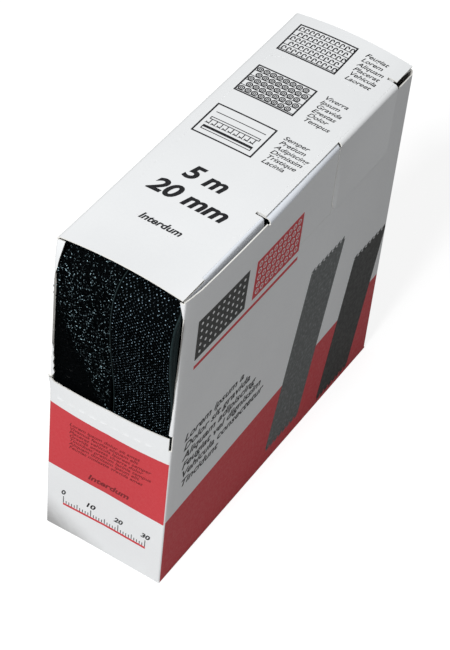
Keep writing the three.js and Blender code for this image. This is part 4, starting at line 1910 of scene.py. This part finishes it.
@dataclass
class PrintedMarks(SubAssembly):
    """Ink on the lid, the front and the right side."""

    ink: float = 0.03
    sink: float = 0.01
    hair: float = 0.55
    stroke: float = 0.42
    fine: float = 0.3
    sharp: float = 30.0
    size_marks: tuple[tuple[str, Box], ...] = (
        ("5 m", (-8.0, -21.7, 6.0, -15.2)), ("20 mm", (-13.5, -31.7, 12.5, -25.2)),
    )
    picture_sides: Point = (-16.8, 4.0)
    picture_feet: Point3 = (43.8, 19.8, -3.2)
    picture_height: float = 14.5
    section_height: float = 15.0
    picture_rows: int = 5
    row_foot: float = 0.9
    row_pitch: float = 2.65
    row_line: float = 0.26
    mark_stem: float = 1.3
    mark_curl: float = 0.5
    mark_rise: float = 1.1
    mark_rings: tuple[tuple[float, float, int], ...] = ((0.9, 0.42, 12), (0.36, 0.28, 8))
    list_left: float = 7.0
    list_rise: float = 12.8
    lid_words: tuple[str, ...] = (
        "Feugiat Lorem Aliquam Placerat Vehicula Laoreet",
        "Viverra Ipsum Gravida Egestas Dolor Tempus",
        "Semper Pretium Adipiscing Dignissim Tristique Lacinia",
    )
    name_words: tuple[str, ...] = ("Interdum",)
    front_lines: tuple[str, ...] = (
        "Lorem ipsum dolor sit amet", "Vivamus feugiat aliquam elit", "Placerat vehicula laoreet semper",
        "Gravida egestas viverra dolor", "Tincidunt pretium lacinia tempus", "Aliquam dignissim ipsum elit",
        "Feugiat molestie gravida amet",
    )
    side_lines: tuple[str, ...] = (
        "Lorem ipsum a", "Dolor sit gravida", "Aliquam adipiscing", "Feugiat vel dignissim",
        "Vehicula consectetur", "Tincidunt",
    )
    scale_half: int = 15
    scale_foot: float = 13.6
    scale_line: float = 0.14
    rule_step: float = 1.01
    rule_box: Box = (-15.14, 12.6, 15.139, 13.5)
    figure_levels: Point = (17.4, 19.7)
    figure_widths: tuple[tuple[int, float], ...] = ((0, 1.6), (10, 3.4), (20, 3.4), (30, 3.4))
    swatch_levels: Point = (94.0, 110.0)
    swatch_sides: tuple[Point, Point] = ((8.0, 34.0), (38.0, 64.0))
    swatch_rows: int = 5
    swatch_columns: int = 9
    swatch_pitch: Point = (2.7, 2.85)
    swatch_margin: Point = (2.2, 2.3)
    tape_lean: float = 0.22
    tape_teeth: int = 8
    tooth_shape: float = 2.2

    def build(self) -> None:
        """Print every side."""
        self.lid_marks()
        self.front_marks()
        self.side_marks()

    def press(
        self, pen: Pen, name: str, material: Material, place: Callable[[Vector], Vector],
        body: Body = Body.CARTON,
    ) -> None:
        """Lay a pen's marks on a face of the carton.

        Args:
            pen: Finished drawing.
            name: Name of the piece.
            material: Ink.
            place: Turns a point of the drawing, with its height over the board, into a point of the carton.
            body: Body that it rides on.
        """
        bm = pen.mesh
        bmesh.ops.remove_doubles(bm, verts=bm.verts[:], dist=MERGE)
        for face in bm.faces:
            face.normal_update()
            if face.normal.z < 0.0:
                face.normal_flip()
        for vert in bm.verts:
            vert.co.z = self.ink
        thicken(bm, self.ink + self.sink)
        for face in bm.faces:
            face.material_index = 0
        for vert in bm.verts:
            vert.co = place(vert.co.copy())
        right_way(bm)
        self.shop.piece(bm, name, [material], body, Slot.PRINTED, sharp=self.sharp)

    def on_lid(self, point: Vector) -> Vector:
        """Place a point on the lid."""
        return Vector((point.x, point.y, self.plan.height + point.z + self.plan.lid_up(point.x, point.y)))

    def on_front(self, point: Vector) -> Vector:
        """Place a point on the bowed front.

        Args:
            point: Point of the drawing.

        Returns:
            The point on the carton.
        """
        out = self.plan.half_depth + self.plan.front_out(point.x, point.y) + point.z
        place = Vector((point.x, -out, point.y))
        place.y -= self.plan.forward(place)
        return place

    def on_side(self, point: Vector) -> Vector:
        """Place a point on the right panel, with U counted from the front."""
        y = point.x - self.plan.half_depth
        return Vector((self.plan.half_width + self.plan.right_out(y, point.y) + point.z, y, point.y))

    def over_side(self, point: Vector) -> Vector:
        """Place a point over the ink of the right panel."""
        return self.on_side(point + Vector((0.0, 0.0, self.ink)))

    def lid_marks(self) -> None:
        """Print the size marks, the three pictures and the lists beside them."""
        pen = Pen()
        for text, box in self.size_marks:
            pen.letters(text, box)
        hooks, loops, section = self.picture_feet
        self.ruled_rows(pen, hooks, (1.2, 1.8, 1.4), self.hook_mark)
        self.ruled_rows(pen, loops, (1.7, 2.3, 1.1), self.loop_mark)
        self.section_picture(pen, section)
        for foot, words in zip(self.picture_feet, self.lid_words):
            pen.words(words.split(), 2.5, 2.45, (self.list_left, foot + self.list_rise), wide=1.1)
        pen.words(self.name_words, 3.7, 4.0, (-8.0, -43.2), 0.03)
        self.press(pen, "lid_print", self.finishes.black, self.on_lid, Body.LID)

    def ruled_rows(
        self, pen: Pen, foot: float, spacing: Point3, mark: Callable[[Pen, float, float], None]
    ) -> None:
        """Draw a framed picture of ruled rows with one mark repeated along them.

        Args:
            pen: Pen to draw with.
            foot: Lower side of the picture.
            spacing: Room before the first mark, from mark to mark, and after the last one.
            mark: Draws a mark at a place.
        """
        first, pitch, room = spacing
        left, right = self.picture_sides
        pen.frame((left, foot, right, foot + self.picture_height), self.hair)
        for row in range(self.picture_rows):
            base = foot + self.row_foot + row * self.row_pitch
            pen.line((left + self.hair, base), (right - self.hair, base), self.row_line)
            start = left + first + row % 2 * pitch / 2.0
            for column in range(int((right - room - start) / pitch) + 1):
                mark(pen, start + column * pitch, base)

    def hook_mark(self, pen: Pen, u: float, v: float) -> None:
        """Draw one hook with its foot at a place."""
        pen.line((u, v), (u, v + self.mark_stem), self.stroke)
        pen.arc((u + self.mark_curl, v + self.mark_stem), self.mark_curl, self.stroke, 7, 180.0, -220.0)

    def loop_mark(self, pen: Pen, u: float, v: float) -> None:
        """Draw one loop with its foot at a place."""
        for radius, width, steps in self.mark_rings:
            pen.arc((u, v + self.mark_rise), radius, width, steps)

    def section_picture(self, pen: Pen, foot: float) -> None:
        """Draw the two tapes in section, pressed together.

        Args:
            pen: Pen to draw with.
            foot: Lower side of the picture.
        """
        margin, ground, count = 1.8, 1.3, 9
        left, right = self.picture_sides
        low, high = foot + 3.6, foot + 7.4
        pen.frame((left, foot, right, foot + self.section_height), self.hair)
        left, right = left + margin, right - margin
        pen.frame((left, low - ground, right, low), self.fine)
        pen.frame((left, high, right, high + ground), self.fine)
        pen.bar((left, low, right, low + 0.7))
        for i in range(count):
            u = left + 1.0 + i * (right - left - 2.0) / (count - 1)
            pen.line((u, high), (u, high - 1.5), self.fine)
            pen.arc((u - 0.5, high - 1.5), 0.5, 0.28, 6, 0.0, -200.0)
            pen.arc((u - 0.5, low + 1.3), 0.75, 0.26, 6, 20.0, 140.0)
        rule = foot + 11.2
        pen.line((left, rule), (right, rule), self.fine)

    def front_marks(self) -> None:
        """Print the small lines on the red band and a plain millimetre scale below it."""
        pen = Pen()
        pen.words(self.front_lines, 1.9, 1.75, (-13.5, 51.8), wide=1.15)
        pen.words(self.name_words, 3.4, 4.0, (-6.5, 31.4), 0.03, 1.15)
        self.press(pen, "front_small_print", self.finishes.deep_red, self.on_front)
        scale = Pen()
        for mark in range(2 * self.scale_half + 1):
            middle = mark - self.scale_half
            length = 3.0 if mark % 10 == 0 else 2.2 if mark % 5 == 0 else 1.3
            foot, line = self.scale_foot, self.scale_line
            scale.bar((middle - line, foot, middle + line, foot + length))
        low, high = self.figure_levels
        for mark, width in self.figure_widths:
            middle = mark - self.scale_half
            scale.letters(str(mark), (middle - width / 2.0, low, middle + width / 2.0, high))
        self.press(scale, "front_scale_print", self.finishes.black, self.on_front)
        rule = Pen(step=self.rule_step)
        rule.bar(self.rule_box)
        self.press(rule, "front_rule_print", self.finishes.red, self.on_front)

    def side_marks(self) -> None:
        """Print the swatches, the lines of words and two leaning lengths of tape."""
        low, high = self.swatch_levels
        (first, first_end), (second, second_end) = self.swatch_sides
        words, dark, pile, accent, pale = (Pen() for _ in range(5))
        words.words(self.side_lines, 4.1, 4.2, (7.0, 59.6), 0.02, 1.3)
        dark.bar((first, low, first_end, high))
        self.pinked_length(dark, (99.0, 3.0, 119.0, 58.0))
        self.pinked_length(pile, (68.0, 7.0, 88.0, 75.0))
        accent.bar((second, low, second_end, high))
        accent.bar((first, 90.3, second_end, 91.7))
        step_u, step_v = self.swatch_pitch
        margin_u, margin_v = self.swatch_margin
        for row in range(self.swatch_rows):
            v = low + margin_v + row * step_v
            for column in range(self.swatch_columns):
                u = margin_u + column * step_u
                pale.dot((first + u, v), 0.55)
                pale.arc((second + u, v), 0.8, 0.35, 10)
        self.press(words, "side_words_print", self.finishes.black, self.on_side)
        self.press(dark, "side_dark_print", self.finishes.charcoal, self.on_side)
        self.press(pile, "side_pile_print", self.finishes.felt, self.on_side)
        self.press(accent, "side_red_print", self.finishes.red, self.on_side)
        self.press(pale, "side_pale_print", self.finishes.pale, self.over_side)

    def pinked_length(self, pen: Pen, box: Box) -> None:
        """Draw a leaning length of tape with pinked ends.

        Args:
            pen: Pen to draw with.
            box: Left side, lower end, right side and upper end, with the sides at mid height.
        """
        u0, v0, u1, v1 = box
        pen.bar(box, self.tape_lean)
        pitch = (u1 - u0) / self.tape_teeth
        offset = self.tape_lean * (v1 - v0) / 2.0
        grow = Matrix.Diagonal((pitch / math.sqrt(3.0), pitch / self.tooth_shape, 1.0, 1.0))
        lift = Matrix.Translation((0.0, 0.5, 0.0)) @ Matrix.Rotation(QUARTER, 4, "Z")
        for end, shift, turn in ((v0, -offset, math.pi), (v1, offset, 0.0)):
            for tooth in range(self.tape_teeth):
                middle = Matrix.Translation((u0 + shift + (tooth + 0.5) * pitch, end, 0.0))
                place = middle @ Matrix.Rotation(turn, 4, "Z") @ grow @ lift
                bmesh.ops.create_circle(pen.mesh, cap_ends=True, segments=3, radius=1.0, matrix=place)


@dataclass
class Studio:
    """Floor, light and camera."""

    focal_px: float = 2287.7
    frame_px: tuple[int, int] = (450, 650)
    azimuth: float = 28.283
    elevation: float = 45.862
    roll: float = 6.527
    eye: Point3 = (236.3, -438.8, 563.4)
    sensor: float = 36.0
    clip_start: float = 0.01
    floor_size: float = 3.0
    floor_grey: Colour = (0.35, 0.35, 0.35)
    floor_glow: float = 0.8
    ambient: float = 0.33
    key_power: float = 15.0
    key_size: float = 0.35
    key_aim: float = 0.07
    key_way: Point3 = (0.0, -0.69, 0.72)
    key_distance: float = 1.3

    def build(self) -> None:
        """Set the stage."""
        self.floor()
        self.world()
        self.key_light()
        self.camera()
        bpy.context.scene.view_settings.view_transform = "Standard"

    def floor(self) -> None:
        """Lay a plain pale floor that looks white and keeps a faint shadow."""
        bm = bmesh.new()
        bmesh.ops.create_grid(bm, x_segments=1, y_segments=1, size=self.floor_size)
        mesh = bpy.data.meshes.new("floor")
        bm.to_mesh(mesh)
        bm.free()
        surface = Surface("pale_floor")
        seen = surface.add("ShaderNodeLightPath").outputs["Is Camera Ray"]
        glow = surface.times(seen, self.floor_glow)
        surface.dress({"Emission Color": (1.0, 1.0, 1.0), "Emission Strength": glow})
        mesh.materials.append(surface.finish(self.floor_grey, 0.9, 0.1))
        floor = show("floor", mesh)

    def world(self) -> None:
        """Light the scene evenly from all round, with a white view."""
        world = bpy.data.worlds.new("studio")
        world.use_nodes = True
        graph = Graph(world.node_tree)
        background = world.node_tree.nodes["Background"]
        graph.feed(background.inputs["Color"], (1.0, 1.0, 1.0))
        seen = graph.add("ShaderNodeLightPath").outputs["Is Camera Ray"]
        graph.feed(background.inputs["Strength"], graph.ramp(seen, 0.0, 1.0, self.ambient, 1.0))
        bpy.context.scene.world = world

    def key_light(self) -> None:
        """Hang one soft lamp in front of and above the object."""
        lamp = bpy.data.lights.new("key", "AREA")
        lamp.shape = "DISK"
        lamp.size = self.key_size
        lamp.energy = self.key_power
        key = show("key", lamp)
        way = Vector(self.key_way).normalized()
        key.location = Vector((0.0, 0.0, self.key_aim)) + way * self.key_distance
        key.rotation_euler = way.to_track_quat("Z", "Y").to_euler()

    def camera(self) -> None:
        """Set the camera at the photograph's place, turn and focal length."""
        data = bpy.data.cameras.new("camera")
        data.sensor_width = self.sensor
        data.lens = self.focal_px * self.sensor / max(self.frame_px)
        data.clip_start = self.clip_start
        camera = show("camera", data)
        turn, rise, tilt = (math.radians(v) for v in (self.azimuth, self.elevation, self.roll))
        aim = Matrix.Rotation(turn, 4, "Z") @ Matrix.Rotation(QUARTER - rise, 4, "X")
        place = Matrix.Translation(Vector(self.eye) * MM)
        camera.matrix_world = place @ aim @ Matrix.Rotation(tilt, 4, "Z")
        bpy.context.scene.camera = camera


def dress_frame_nodes(finishes: Finishes) -> None:
    """Give the frame nodes that stay visible their board material.

    Args:
        finishes: Every material.
    """
    inner = ("seam_flap", "bottom_tuck_flap", "bottom_front_dust_flap", "bottom_back_dust_flap")
    dressed = {"bottom_panel": finishes.white, **dict.fromkeys(inner, finishes.raw)}
    for name, material in dressed.items():
        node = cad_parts[name]
        node.data.materials.clear()
        node.data.materials.append(material)
        LOG.info("frame node %s dressed with %s", name, material.name)


def main() -> None:
    """Build the object and its stage."""
    logging.basicConfig(level=logging.INFO, format="%(message)s")
    plan = CartonPlan.from_frame()
    effects = SharedEffects(plan)
    effects.build()
    finishes = Finishes(effects)
    shop = Workshop()
    given = (plan, shop, finishes)
    Studio().build()
    Sleeve(*given).build()
    LidClosure(*given).build()
    Tape(*given, TapeKind.LOOP, bulge=1.7, seat_forward=1.2, splay_hand=1.0, splay_most=0.45).build()
    Tape(*given, TapeKind.HOOK, bulge=4.3, seat_forward=0.3, splay_hand=-1.0, splay_most=0.7).build()
    PrintedMarks(*given).build()
    dress_frame_nodes(finishes)
    LOG.info("%d pieces made", shop.count)


if __name__ == "__main__":
    main()
